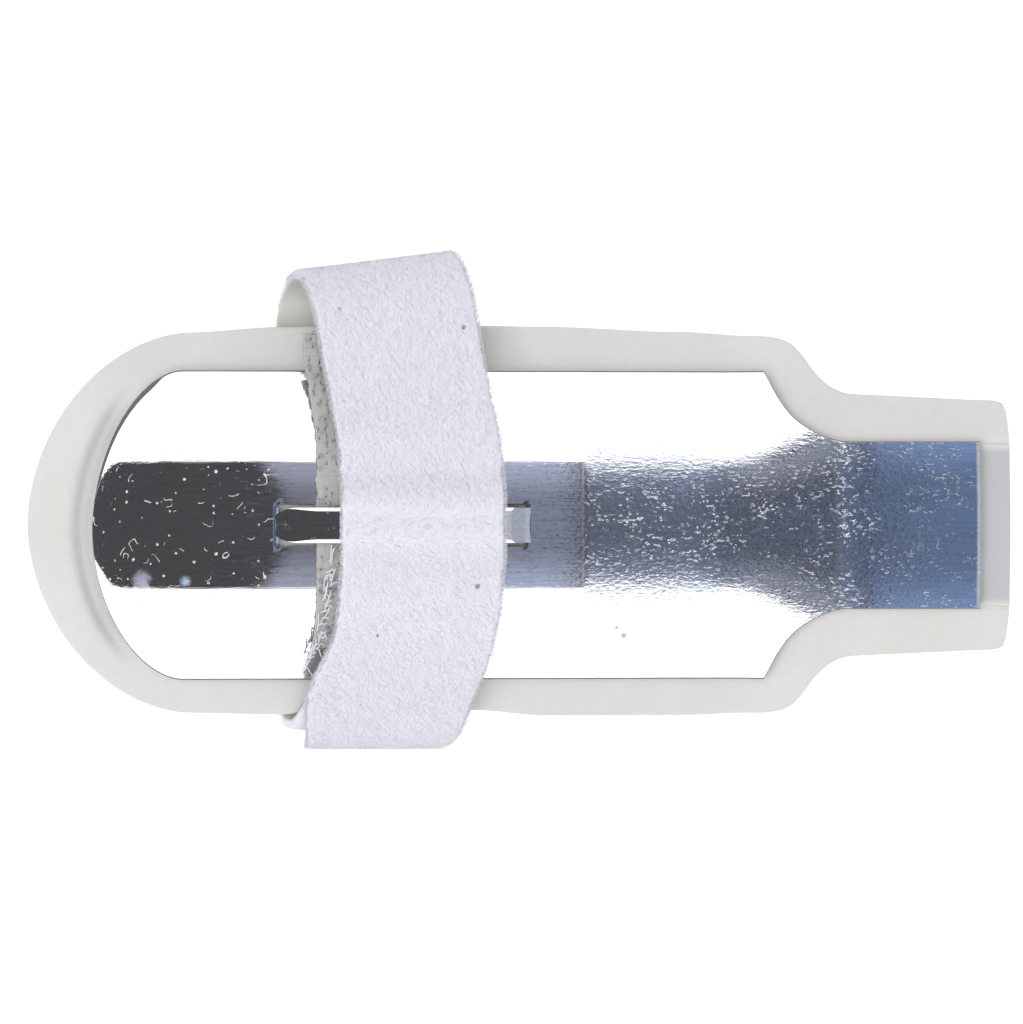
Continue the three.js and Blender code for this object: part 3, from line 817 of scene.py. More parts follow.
@dataclass(frozen=True)
class CellFoam(Finish):
    """Off-white closed-cell foam with a fine skin."""

    base: tuple = colour(0.74, 0.732, 0.718)
    shade: tuple = colour(0.71, 0.70, 0.68)
    # Darker bluish tone of the painted shade on the foam's end past the metal's tail and in the crease round
    # the tip.
    tongue: tuple = colour(0.55, 0.553, 0.58)

    def lay(self, tree: Tree, shader: bpy.types.Node, effects: Effects) -> None:
        """Lays fine cells, soft blotches, and painted shade on the foam's end past the metal's tail and in the
        crease round the tip.
        """
        blotches = self.use(tree, effects.mottle, Wide_Scale=140.0, Fine_Scale=1600.0, Fine_Share=0.5)
        tone = tree.blend(blotches, self.base, self.shade)
        # Mask of the painted shade, held by the mesh.
        painted_shade_amount = tree.ramp(self.layer(tree, "tongue"), 0.0, 1.0)
        tree.put(shader, "Base Color", tree.blend(painted_shade_amount, tone, self.tongue))
        self.gloss(shader, 0.82, 0.28)
        place = tree.stretched((1.0, 1.0, 1.0))
        cells = tree.add("ShaderNodeTexVoronoi", {"feature": "SMOOTH_F1"}, Vector=place, Scale=4200.0)
        pits = tree.math("MULTIPLY", cells.outputs["Distance"], -1.0)
        height = tree.math("ADD", pits, tree.noise(place, 1200.0, 3.0))
        self.relief(tree, shader, height, 0.16, 0.00006)


@dataclass(frozen=True)
class BrushedPile(Finish):
    """White pile tape with a faint cool cast and lying fibres.

    Bits of dark fluff are rows of X, Y and radius in millimetres.
    """

    base: tuple = colour(0.825, 0.82, 0.895)
    shade: tuple = colour(0.79, 0.785, 0.855)
    back: tuple = colour(0.62, 0.61, 0.58)
    strength: float = 0.18
    fluff: tuple = ((-4.6, 14.4, 0.3), (-3.4, -7.2, 0.34), (-11.7, -11.3, 0.22), (-15.0, 16.0, 0.18))
    fluff_tone: tuple = colour(0.22, 0.21, 0.24)
    fluff_share: float = 0.75

    def lay(self, tree: Tree, shader: bpy.types.Node, effects: Effects) -> None:
        """Lays streaks of fibre and soft tufts."""
        streaks = tree.noise(tree.stretched((1500.0, 6500.0, 4200.0), 0.12), 1.0, 4.0, 0.65)
        tufts = self.use(tree, effects.mottle, Wide_Scale=260.0, Fine_Scale=4200.0, Fine_Share=0.7)
        share = tree.math("MULTIPLY", tree.ramp(streaks, 0.35, 0.7),
                          tree.math("MULTIPLY_ADD", tufts, 0.6, 0.4))
        tone = tree.blend(share, self.base, self.shade)
        tone = tree.blend(self.layer(tree, "back"), tone, self.back)
        place = tree.stretched((1.0, 1.0, 0.0))
        for x, y, radius in self.fluff:
            centre = (x * MM, y * MM, 0.0)
            away = tree.add("ShaderNodeVectorMath", {"operation": "DISTANCE"}, i0=place, i1=centre)
            away = tree.math("MULTIPLY_ADD", streaks, -0.9 * radius * MM, away.outputs["Value"])
            mark = tree.ramp(away, 0.0, 0.3 * radius * MM, self.fluff_share, 0.0)
            tone = tree.blend(mark, tone, self.fluff_tone)
        tree.put(shader, "Base Color", tone)
        self.gloss(shader, 0.95, 0.15)
        shader.inputs["Sheen Weight"].default_value = 0.25
        shader.inputs["Sheen Roughness"].default_value = 0.5
        height = tree.math("ADD", streaks, tree.math("MULTIPLY", tufts, 0.2))
        self.relief(tree, shader, height, self.strength, 0.0001)


@dataclass(frozen=True)
class HookPlastic(Finish):
    """Slightly clear white plastic hooks and the woven tape that carries them."""

    base: tuple = colour(0.50, 0.49, 0.48)
    # Dark tone of the painted shade in the spaces between the rows of hooks.
    shade: tuple = colour(0.28, 0.27, 0.26)
    thread: tuple = colour(0.42, 0.41, 0.41)

    def lay(self, tree: Tree, shader: bpy.types.Node, effects: Effects) -> None:
        """Lays a fine weave, painted shade in the spaces between the rows of hooks, pits there in the relief,
        and a waxy gloss.
        """
        weave = tree.math("MULTIPLY",
                          tree.noise(tree.stretched((5200.0, 600.0, 600.0)), 1.0, 2.0),
                          tree.noise(tree.stretched((600.0, 5200.0, 5200.0)), 1.0, 2.0))
        cells = tree.add("ShaderNodeTexVoronoi", {"feature": "F1"}, Vector=tree.stretched((1.0, 1.0, 1.0)),
                         Scale=900.0, Randomness=0.35)
        # Mask of the spaces between the hooks: painted shade in the colour, and pits in the relief.
        gap_relief_and_shade = tree.ramp(cells.outputs["Distance"], 0.14, 0.34, 0.5, 0.0)
        tone = tree.blend(tree.ramp(weave, 0.1, 0.35), self.thread, self.base)
        tree.put(shader, "Base Color", tree.blend(gap_relief_and_shade, tone, self.shade))
        self.gloss(shader, 0.42)
        self.relief(tree, shader, tree.math("MULTIPLY_ADD", gap_relief_and_shade, -1.0, weave), 0.5, 0.0001)


# Geometry nodes that repeat small shapes


class Repeats(Enum):
    """What a scatter of small shapes is for."""

    NAP = "nap"
    HOOKS = "hooks"


@dataclass(frozen=True)
class Scatter:
    """Small shapes spread over a surface, standing along its normal with a tilt."""

    kind: Repeats
    density: float
    tilt: float
    tilt_spread: float
    scale_low: float
    scale_high: float
    spin: float = math.pi
    seed: int = SEED

    def tree(self, shape: bpy.types.Object, finish: bpy.types.Material
             ) -> tuple[bpy.types.NodeTree, dict[str, str]]:
        """Builds the node tree.

        Args:
            shape: The small shape, standing along Z at the origin.
            finish: Its material.

        Returns:
            The tree and the identifiers of its named inputs.
        """
        tree = bpy.data.node_groups.new(f"{self.kind.value}_scatter", "GeometryNodeTree")
        names: dict[str, str] = {}
        tree.interface.new_socket("Geometry", in_out="INPUT", socket_type="NodeSocketGeometry")
        inputs = {"Density": self.density, "Tilt": self.tilt, "Tilt Spread": self.tilt_spread,
                  "Scale Low": self.scale_low, "Scale High": self.scale_high, "Seed": self.seed}
        for key, value in inputs.items():
            kind = "NodeSocketInt" if key == "Seed" else "NodeSocketFloat"
            socket = tree.interface.new_socket(key, in_out="INPUT", socket_type=kind)
            socket.default_value = value
            names[key] = socket.identifier
        tree.interface.new_socket("Geometry", in_out="OUTPUT", socket_type="NodeSocketGeometry")
        t = Tree(tree)
        given = t.add("NodeGroupInput")
        out = t.add("NodeGroupOutput")
        socket = given.outputs
        spots = t.add("GeometryNodeDistributePointsOnFaces", {"distribute_method": "RANDOM"},
                      Mesh=socket["Geometry"], Density=socket["Density"], Seed=socket["Seed"])
        spin = self._random(t, -self.spin, self.spin, socket["Seed"])
        low = t.math("SUBTRACT", socket["Tilt"], socket["Tilt Spread"])
        high = t.math("ADD", socket["Tilt"], socket["Tilt Spread"])
        lean = self._random(t, low, high, socket["Seed"])
        turned = t.add("ShaderNodeCombineXYZ", None, X=lean, Z=spin)
        own = t.add("FunctionNodeEulerToRotation", None, Euler=turned.outputs[0])
        facing = t.add("FunctionNodeRotateRotation", {"rotation_space": "LOCAL"},
                       Rotation=spots.outputs["Rotation"], Rotate_By=own.outputs[0])
        grow = self._random(t, socket["Scale Low"], socket["Scale High"], socket["Seed"])
        info = t.add("GeometryNodeObjectInfo", {"transform_space": "ORIGINAL"}, Object=shape)
        copies = t.add("GeometryNodeInstanceOnPoints", None, Points=spots.outputs["Points"],
                       Instance=info.outputs["Geometry"], Rotation=facing.outputs[0], Scale=grow)
        solid = t.add("GeometryNodeRealizeInstances", None, Geometry=copies.outputs[0])
        dressed = t.add("GeometryNodeSetMaterial", None, Geometry=solid.outputs[0], Material=finish)
        t.put(out, 0, dressed.outputs[0])
        return tree, names

    @staticmethod
    def _random(t: Tree, low: object, high: object, seed: object) -> object:
        """A random number between two values for each point."""
        node = t.add("FunctionNodeRandomValue", {"data_type": "FLOAT"})
        t.put(node, 2, low)
        t.put(node, 3, high)
        t.put(node, "Seed", seed)
        return node.outputs[1]

    def grow(self, name: str, host: bpy.types.Object, shape: bpy.types.Object, finish: bpy.types.Material
             ) -> bpy.types.Object:
        """Spreads the shape over a host and keeps the result as a plain mesh.

        Args:
            name: The new piece's name.
            host: The surface to spread over. It is removed afterwards.
            shape: The small shape. It is removed afterwards.
            finish: The material of the small shapes.

        Returns:
            The new piece.
        """
        tree, names = self.tree(shape, finish)
        modifier = host.modifiers.new(self.kind.value, "NODES")
        modifier.node_group = tree
        for key, value in (("Density", self.density), ("Seed", self.seed)):
            modifier[names[key]] = value
        depsgraph = bpy.context.evaluated_depsgraph_get()
        mesh = bpy.data.meshes.new_from_object(host.evaluated_get(depsgraph), depsgraph=depsgraph)
        mesh.name = name
        mesh.shade_smooth()
        piece = bpy.data.objects.new(name, mesh)
        bpy.context.collection.objects.link(piece)
        for used in (host, shape):
            data = used.data
            bpy.data.objects.remove(used)
            bpy.data.meshes.remove(data)
        return piece


def small_shape(name: str, rings: Sequence[tuple[float, float, float, float]], sides: int
                ) -> bpy.types.Object:
    """A closed bent spike or hook made of rings.

    Args:
        name: The shape's name.
        rings: For each ring its X, its Z, its radius and the lean of its axis in radians, in metres.
        sides: Corners of each ring.

    Returns:
        The shape, which the scatter that uses it removes.
    """
    bm = bmesh.new()
    loops = []
    for x, z, radius, lean in rings:
        loop = []
        for s in range(sides):
            a = math.tau * s / sides
            across, aside = radius * math.cos(a), radius * math.sin(a)
            loop.append(bm.verts.new((x + across * math.cos(lean), aside, z - across * math.sin(lean))))
        loops.append(loop)
    for low, high in zip(loops, loops[1:]):
        for s in range(sides):
            n = (s + 1) % sides
            bm.faces.new((low[s], low[n], high[n], high[s]))
    bm.faces.new(list(reversed(loops[0])))
    bm.faces.new(loops[-1])
    bmesh.ops.recalc_face_normals(bm, faces=bm.faces)
    mesh = bpy.data.meshes.new(name)
    bm.to_mesh(mesh)
    bm.free()
    shape = bpy.data.objects.new(name, mesh)
    bpy.context.collection.objects.link(shape)
    return shape


# Pieces


@dataclass
class Workshop:
    """What every piece needs: the sizes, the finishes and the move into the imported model's frame."""

    metal: Trough
    foam: Liner
    tapes: Tapes
    bridge: Bridge
    shift: np.ndarray
    effects: Effects
    ribs: Ribs
    finishes: dict[str, bpy.types.Material] = field(default_factory=dict)

    def maker(self) -> MeshMaker:
        """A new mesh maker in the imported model's frame."""
        return MeshMaker(self.shift)

    def finish(self, finish: Finish) -> bpy.types.Material:
        """The material of a finish, made once."""
        if finish.name not in self.finishes:
            self.finishes[finish.name] = finish.material(self.effects)
        return self.finishes[finish.name]

    def dress(self, piece: bpy.types.Object, finish: Finish, slot: str, stands_for: str = "") -> None:
        """Gives a piece its material and body.

        Args:
            piece: The finished piece.
            finish: Its finish, laid unless the piece already has a material.
            slot: The material slot that it belongs to. Not used.
            stands_for: The solid that it replaces, if it replaces one.
        """
        if not piece.data.materials:
            piece.data.materials.append(self.finish(finish))
        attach(piece, "root")
        if stands_for:
            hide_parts(stands_for)


@dataclass
class MetalShell:
    """The aluminium trough with its bridge."""

    shop: Workshop
    finish: PolishedSheet = PolishedSheet("polished_sheet")
    columns: int = 30
    window_columns: int = 4
    cut_round: float = 0.12
    rim_insets: tuple[float, ...] = (0.42, 0.16, 0.0)
    strip_steps: int = 90
    strip_columns: int = 12
    strip_root: float = 0.03
    nose_width: float = 0.3
    nose_share: float = 0.6
    sink_start: float = 2.4

    def shares(self) -> np.ndarray:
        """Places of the columns from the spine to the edge, with one along the window's side."""
        window = (self.shop.bridge.width / 2 + self.shop.bridge.slit) / self.shop.metal.half_width
        near = 1 - np.array(self.rim_insets) / self.shop.metal.half_width
        first = self.window_columns + 1
        return np.concatenate([np.linspace(0, window, first),
                               np.linspace(window, near[0], self.columns - first)[1:], near[1:]])

    def surface(self, depth: float) -> np.ndarray:
        """The sheet's outer surface, lowered by a depth, as a grid of points."""
        ribs, metal = self.shop.ribs, self.shop.metal
        use = ribs.metal
        share = self.shares()[None, :]
        x = ribs.spine[use, None] * (1 - share) + ribs.rim[use, 0][:, None] * share
        y = ribs.rim[use, 1][:, None] * share
        return metal.at(x, y, -depth)

    def build(self) -> bpy.types.Object:
        """Builds the trough, its window and its bridge as one piece."""
        maker = self.shop.maker()
        bridge = self.shop.bridge
        top, bottom = self.surface(0.0), self.surface(self.shop.metal.thickness)
        half = self.shop.metal.thickness / 2
        low, high, side = bridge.start + half, bridge.end - half, self.window_columns
        xs, slack = top[:, 0, 0], 0.01

        def inside(i: int) -> bool:
            """Whether the window lies between a rib and the next."""
            return min(xs[i], xs[i + 1]) > low - slack and max(xs[i], xs[i + 1]) < high + slack

        def keep(i: int, k: int) -> bool:
            """Whether the sheet has metal in a quad of its grid."""
            return not (k < side and inside(i))

        upper, lower = maker.grid(top, keep), maker.grid(bottom, keep)
        # Painted shadow along the cut edge: a band round the outer surface's rim, and full on the inner
        # surface.
        maker.layers["cut_edge"] = [self._edge(top), np.ones(bottom.shape[0] * bottom.shape[1])]
        rows, last = len(top), top.shape[1] - 1
        for i in range(rows - 1):
            maker.face((upper[i, last], upper[i + 1, last], lower[i + 1, last], lower[i, last]))
            if inside(i):
                maker.face((upper[i, side], upper[i + 1, side], lower[i + 1, side], lower[i, side]))
        ends = [i for i in range(rows) if (i + 1 < rows and inside(i)) != (i > 0 and inside(i - 1))]
        for i, reach in [(0, last), (rows - 1, last), *((i, side) for i in ends)]:
            for k in range(reach):
                maker.face((upper[i, k], upper[i, k + 1], lower[i, k + 1], lower[i, k]))
        self._strip(maker)
        piece = maker.make("shell_sheet")
        bevelled(piece, self.cut_round)
        self.shop.dress(piece, self.finish, "polished_aluminium", "shell")
        return piece

    def _edge(self, top: np.ndarray) -> np.ndarray:
        """How much painted shadow along the cut edge each point of the outer surface shows.

        Args:
            top: The outer surface, ribs by columns.

        Returns:
            One value for each point, wider round the upper left of the tip.
        """
        edge = np.zeros(top.shape[:2])
        rim = top[:, -1]
        at_tip = smooth(-rim[:, 0], 24.0, 30.0)
        # The painted shadow widens round the upper left of the tip.
        shadow_widening = at_tip * smooth(rim[:, 1], 1.0, 5.0) * smooth(-rim[:, 1], -13.2, -11.5)
        edge[:, -1], edge[:, -2], edge[:, -3] = 1.0, 0.25 + 0.75 * shadow_widening, 0.8 * shadow_widening
        return edge.ravel()

    def _strip(self, maker: MeshMaker) -> None:
        """Adds the raised strip, ramped at both ends and arched across."""
        bridge, metal, tapes = self.shop.bridge, self.shop.metal, self.shop.tapes
        lift = tapes.gap * 2 + tapes.hook + metal.thickness + bridge.arch / 2
        x = np.linspace(bridge.start, bridge.end, self.strip_steps + 1)[:, None]
        side = np.linspace(-1, 1, self.strip_columns + 1)[None, :]
        ramp = np.minimum(smooth(x, bridge.start, bridge.start + bridge.start_ramp),
                          1 - smooth(x, bridge.end - bridge.end_ramp, bridge.end))
        crown = metal.top(x, np.zeros_like(x))
        height = crown + lift * ramp - bridge.arch * side**2 * ramp - (1 - ramp) * self.strip_root
        sunk = 1 - smooth(x, bridge.start + self.sink_start, bridge.sink_end)
        height = height - bridge.sink * ramp * sunk
        nose_run = np.clip((x - bridge.start) / (bridge.start_ramp * self.nose_share), 0, 1)
        rounding = np.sqrt(np.maximum(0.0, 1 - (1 - nose_run) ** 2))
        half = bridge.width / 2 * (self.nose_width + (1 - self.nose_width) * rounding)
        grids = []
        for depth in (0.0, metal.thickness):
            points = np.stack(np.broadcast_arrays(x, side * half, height - depth), axis=-1)
            grids.append(maker.grid(points))
            maker.layers["cut_edge"].append(np.zeros(points.shape[0] * points.shape[1]))
        upper, lower = grids
        for edge in (0, upper.shape[1] - 1):
            for i in range(len(upper) - 1):
                maker.face((upper[i, edge], upper[i + 1, edge], lower[i + 1, edge], lower[i, edge]))
        for end in (0, len(upper) - 1):
            for k in range(upper.shape[1] - 1):
                maker.face((upper[end, k], upper[end, k + 1], lower[end, k + 1], lower[end, k]))


@dataclass
class FoamLiner:
    """The foam that lines the metal and stands out past it."""

    shop: Workshop
    finish: CellFoam = CellFoam("cell_foam")
    under: int = 10
    margin: int = 26
    cut_round: float = 0.4
    arc_steps: int = 4
    cut_hollow: float = 0.06
    waviness: float = 0.07
    roughness: float = 0.02
    swell: float = 0.17
    # How strongly, and how wide, the shade in the crease round the tip is painted.
    painted_shade_amount: float = 0.55
    painted_shade_width: float = 0.9
    corner_round: float = 0.2

    def outer_face(self, grooved: bool) -> np.ndarray:
        """The foam's outer face, under the metal and out over the margin.

        Args:
            grooved: Whether the groove round the tip is pressed in.

        Returns:
            Points, ribs by columns.
        """
        shop, ribs = self.shop, self.shop.ribs
        foam, metal = shop.foam, shop.metal
        inset = metal.thickness + foam.glue
        share = np.linspace(0, 1, self.under + 1)[None, :]
        x = ribs.spine[:, None] * (1 - share) + ribs.rim[:, 0][:, None] * share
        y = ribs.rim[:, 1][:, None] * share
        covered = metal.at(x, y, -inset)
        rim, normal = covered[:, -1], metal.normal(ribs.rim[:, 0], ribs.rim[:, 1])
        outward = ribs.edge - rim[:, :2]
        length = np.linalg.norm(outward, axis=1)
        outward /= length[:, None]
        slope = (normal[:, :2] * outward).sum(1) / normal[:, 2]
        part = np.linspace(0, 1, self.margin + 1)[None, 1:]
        run = part * length[:, None]
        fall = foam.drop(run, slope[:, None], ribs.flare[:, None], ribs.bend[:, None])
        place = run - foam.groove_place * length[:, None]
        place = place / np.where(place < 0, foam.groove_inner, foam.groove_outer)
        groove = foam.groove_depth * ribs.groove[:, None] * np.exp(-place * place)
        lip = smooth(ribs.spine[:, None], metal.tail_x, metal.tail_x + 0.5)
        groove = (groove + lip * foam.seam_depth * np.exp(-((run / foam.seam_width) ** 2))) * float(grooved)
        covered[:, :-1, 2] -= lip * foam.tongue_step * float(grooved)
        plan = rim[:, None, :2] + outward[:, None, :] * run[:, :, None]
        free = np.concatenate([plan, (rim[:, None, 2] - fall - groove)[:, :, None]], axis=2)
        return np.concatenate([covered, free], axis=1)

    def build(self) -> bpy.types.Object:
        """Builds the liner as one closed piece with rounded cut edges."""
        shop = self.shop
        plain = self.outer_face(False)
        normals = grid_normals(plain)
        lower = plain - normals * shop.foam.thickness
        upper = self.outer_face(True)
        free = self.under + 1
        wave = ripple(upper[:, free:], 3.0, 5.0) * self.waviness
        wave += ripple(upper[:, free:], 0.9, 9.0) * self.roughness
        upper[:, free:, 2] += wave * np.linspace(0, 1, self.margin)[None, :]
        r = self.cut_round
        outward = upper[:, -1] - upper[:, -2]
        outward /= np.linalg.norm(outward, axis=1, keepdims=True)
        down = -normals[:, -1]
        edge = upper[:, -1] + outward * self.swell
        upper[:, -1] = edge - outward * r
        upper[:, -2] = (upper[:, -1] + upper[:, -3]) / 2
        lower[:, -1] -= outward * r
        lower[:, -2] = (lower[:, -1] + lower[:, -3]) / 2
        wall = np.stack([edge + outward * o + down * d for o, d in self._cut_profile()], axis=1)
        maker = shop.maker()
        column = np.concatenate([upper, wall, lower[:, ::-1]], axis=1)
        ids = maker.grid(column)
        width = upper.shape[1]
        # Painted shade: full on the foam's end past the metal's tail, and along the crease round the tip.
        tongue = np.zeros(column.shape[:2])
        tongue[:, : self.under] = smooth(shop.ribs.spine[:, None], shop.metal.tail_x - 0.2, shop.metal.tail_x)
        reach = np.linalg.norm(shop.ribs.edge - shop.ribs.rim, axis=1)[:, None]
        place = reach * (np.linspace(0, 1, self.margin + 1)[None, 1:] - shop.foam.groove_place)
        painted_shade_amount = self.painted_shade_amount * shop.ribs.groove[:, None] * np.exp(-(place / self.painted_shade_width) ** 2)
        tongue[:, free: free + self.margin] = painted_shade_amount
        maker.layers["tongue"] = [tongue.ravel()]
        for i in (0, len(ids) - 1):
            for k in range(width - 1):
                maker.face((ids[i, k], ids[i, k + 1], ids[i, -2 - k], ids[i, -1 - k]))
            maker.face(ids[i, width - 1: ids.shape[1] - width + 1])
        piece = maker.make("foam_liner_soft")
        bevelled(piece, self.corner_round, 60.0)
        shop.dress(piece, self.finish, "foam", "foam_liner")
        return piece

    def _cut_profile(self) -> list[tuple[float, float]]:
        """Steps down the cut edge, as the distance out and the depth, with both corners round."""
        r, height = self.cut_round, self.shop.foam.thickness
        turns = np.radians(np.linspace(0, 90, self.arc_steps + 1)[1:])
        top = [(-r + r * math.sin(a), r - r * math.cos(a)) for a in turns]
        flat = [(-self.cut_hollow * math.sin(share * math.pi), r + (height - 2 * r) * share)
                for share in np.linspace(0.2, 0.8, 4)]
        return [*top, *flat, *((out, height - depth) for out, depth in reversed(top))]


class TapePath:
    """The middle line of the strap and of the hook tape, in the loop's own plane."""

    def __init__(self, shop: Workshop) -> None:
        """Works out the foam's edge beside the strap."""
        self.shop = shop
        foam, tapes, metal = shop.foam, shop.tapes, shop.metal
        middle = tapes.x(tapes.strap * 3)
        edges = FoamLiner(shop).outer_face(False)[:, -1]
        near = (edges[:, 1] < 0) & (np.abs(edges[:, 0] - middle) < tapes.width * 0.6)
        y, z = float(edges[near, 1].min()), float(edges[near, 2].min())
        tilt = math.atan(foam.side_flare)
        self.outer = np.array([y, z + metal.pitch * tapes.width / 2])
        self.lower = np.array([y + foam.thickness * math.sin(tilt), z - foam.thickness * math.cos(tilt)])

    def on_metal(self, y: float, lift: float) -> tuple[float, float, float]:
        """A point of the tape's middle over the metal: its Y, its Z and its level."""
        metal, tapes = self.shop.metal, self.shop.tapes
        point = metal.at(tapes.x(metal.crown_base), y, lift)
        for _ in range(4):
            point = metal.at(tapes.x(point[2]), y, lift)
        return float(point[1]), float(point[2]), 0.0

    @staticmethod
    def length(line: np.ndarray) -> float:
        """Length of a line in its own plane."""
        return float(np.linalg.norm(np.diff(line[:, :2], axis=0), axis=1).sum())

    def round_edge(self, clearance: float) -> list[tuple[float, float, float]]:
        """Points round the right edge of the foam, at a clearance from it, going down."""
        (oy, oz), (ly, lz), c = self.outer, self.lower, clearance
        return [(oy - c * 0.72, oz + c * 0.72, 0.2), (oy - c * 1.12, oz - c * 0.25 - 0.35, 0.4),
                ((oy + ly) / 2 - c * 1.5, (oz + lz) / 2 - c * 0.75, 0.7)]

    def strap(self, over_bridge: bool) -> np.ndarray:
        """Control points of the strap's middle line.

        Args:
            over_bridge: Whether the line rises over the bridge.

        Returns:
            Rows of Y, Z and level, where level 1 lies flat on the floor and 0 follows the metal's pitch.
        """
        tapes, bridge, metal = self.shop.tapes, self.shop.bridge, self.shop.metal
        half = tapes.strap / 2
        inner, outer = tapes.gap + half, tapes.gap * 2 + tapes.hook + half
        raised = tapes.gap * 3 + tapes.hook + metal.thickness + bridge.arch / 2 + half
        start = [self.on_metal(y, inner) for y in (tapes.start_y, tapes.start_y - 1.6)]
        ly = float(self.lower[0])
        floor = [(y, half, 1.0) for y in (ly - 0.1, ly / 2, 0.0, -ly / 2, 0.62 * tapes.reach)]
        bulge = [(tapes.reach * out, tapes.height * up, min(1.0, max(0.0, 1 - up * 1.3)))
                 for out, up in tapes.bulge]
        over = [self.on_metal(y, raised if over_bridge and abs(y) < bridge.width else outer)
                for y in tapes.over]
        end = self.round_edge(outer - tapes.hook + tapes.strap)
        end[2] = (end[2][0] - 0.1, tapes.end_z, 0.7)
        return np.array([*start, *self.round_edge(inner), *floor, *bulge, *over, *end])

    def strap_line(self, steps: int, over_bridge: bool = True) -> np.ndarray:
        """The strap's middle line in even steps."""
        line = spline(self.strap(over_bridge), steps)
        line[:, 2] = np.clip(line[:, 2], 0, 1)
        flat = self.shop.tapes.strap / 2
        lying = (line[:, 1] < flat + 0.06) & (line[:, 2] > 0.9)
        if over_bridge:
            line[lying, 1], line[lying, 2] = flat, 1.0
        return line

    def hook_line(self, steps: int) -> np.ndarray:
        """The hook tape's middle line, just inside the strap's outer turn."""
        tapes = self.shop.tapes
        line = self.strap_line(steps, False)
        away = self.across(line)
        inward = tapes.strap / 2 + tapes.gap + tapes.hook / 2
        moved = line.copy()
        moved[:, :2] += away * inward
        first = int(np.argmax((line[:, 1] > tapes.height / 2) & (line[:, 0] > 0)))
        index = np.arange(len(line))
        use = (index > first) & (moved[:, 0] < tapes.hook_outer_y) & (moved[:, 0] > tapes.hook_inner_y)
        return moved[use]

    @staticmethod
    def across(line: np.ndarray) -> np.ndarray:
        """Directions square to a line, to its left as it runs."""
        ahead = np.gradient(line[:, :2], axis=0)
        across = np.stack([-ahead[:, 1], ahead[:, 0]], axis=1)
        return across / np.linalg.norm(across, axis=1, keepdims=True)

    def face(self, line: np.ndarray, offset: np.ndarray | float, shares: np.ndarray,
             shift: np.ndarray | float = 0.0) -> np.ndarray:
        """A face of a tape along a line.

        Args:
            line: The middle line.
            offset: Distance from the middle line, along the line's left, for each column.
            shares: Places across the tape from -1 to 1.
            shift: Move along X, of the whole tape or of each step.

        Returns:
            Points, steps by columns.
        """
        tapes, metal = self.shop.tapes, self.shop.metal
        away = self.across(line)[:, None, :] * np.broadcast_to(offset, (len(line), len(shares)))[:, :, None]
        slant = tapes.slant * smooth(line[:, None, 0] + away[:, :, 0], tapes.slant_start, tapes.reach)
        y = line[:, None, 0] + away[:, :, 0] + slant * shares[None, :]
        z = line[:, None, 1] + away[:, :, 1]
        aside = shares[None, :] * tapes.width / 2
        shift = np.reshape(shift, (-1, 1))
        x = tapes.x(line[:, None, 1]) + shift + aside
        z = z - metal.pitch * (1 - line[:, None, 2]) * (aside + shift)
        return np.stack([x, y, z], axis=-1)


@dataclass
class Tape:
    """A closed length of tape along a line, with soft edges."""

    path: TapePath
    line: np.ndarray
    low: float
    high: float
    shift: np.ndarray | float = 0.0
    overhang: np.ndarray | float = 0.0
    fray: float = 0.14
    columns: int = 40
    edge_steps: int = 6
    edge_softness: float = 0.6
    back_share: float = 0.8

    def build(self, maker: MeshMaker, wobble: float) -> None:
        """Adds the tape's two faces, edges and ends.

        Args:
            maker: Takes the faces.
            wobble: How far the edges wander, in millimetres.
        """
        middle, half = (self.low + self.high) / 2, (self.high - self.low) / 2
        angles = np.linspace(-math.pi / 2, math.pi / 2, self.edge_steps + 1)[1:-1]
        inner = np.linspace(-1, 1, self.columns + 1)
        width = self.path.shop.tapes.width / 2
        soft = self.edge_softness * half / width
        rounded = 1 - soft + soft * np.cos(angles) ** self.edge_softness
        ring_share = np.concatenate([inner * (1 - soft), rounded, inner[::-1] * (1 - soft), -rounded])
        rise = half * np.sin(angles)
        ring_offset = np.concatenate([
            np.full(len(inner), middle - half), middle + rise,
            np.full(len(inner), middle + half), middle - rise])
        points = self.path.face(self.line, ring_offset[None, :], ring_share, self.shift)
        edge = np.abs(ring_share)[None, :] ** 3
        along = points * np.array([0.15, 1.0, 1.0])
        fray = wobble * ripple(along, 2.6, 3.0) + self.fray * ripple(along, 0.5, 8.0)
        points[:, :, 0] += fray * edge * np.sign(ring_share)[None, :]
        points[:, :, 0] -= np.reshape(self.overhang, (-1, 1)) * edge * (ring_share < 0)[None, :]
        ids = maker.grid(points)
        behind = np.broadcast_to(ring_offset > middle + self.back_share * half, points.shape[:2])
        maker.layers.setdefault("back", []).append(behind.astype(float).ravel())
        for i in range(len(ids) - 1):
            maker.face((ids[i, -1], ids[i + 1, -1], ids[i + 1, 0], ids[i, 0]))
        maker.face(ids[0])
        maker.face(ids[-1][::-1])


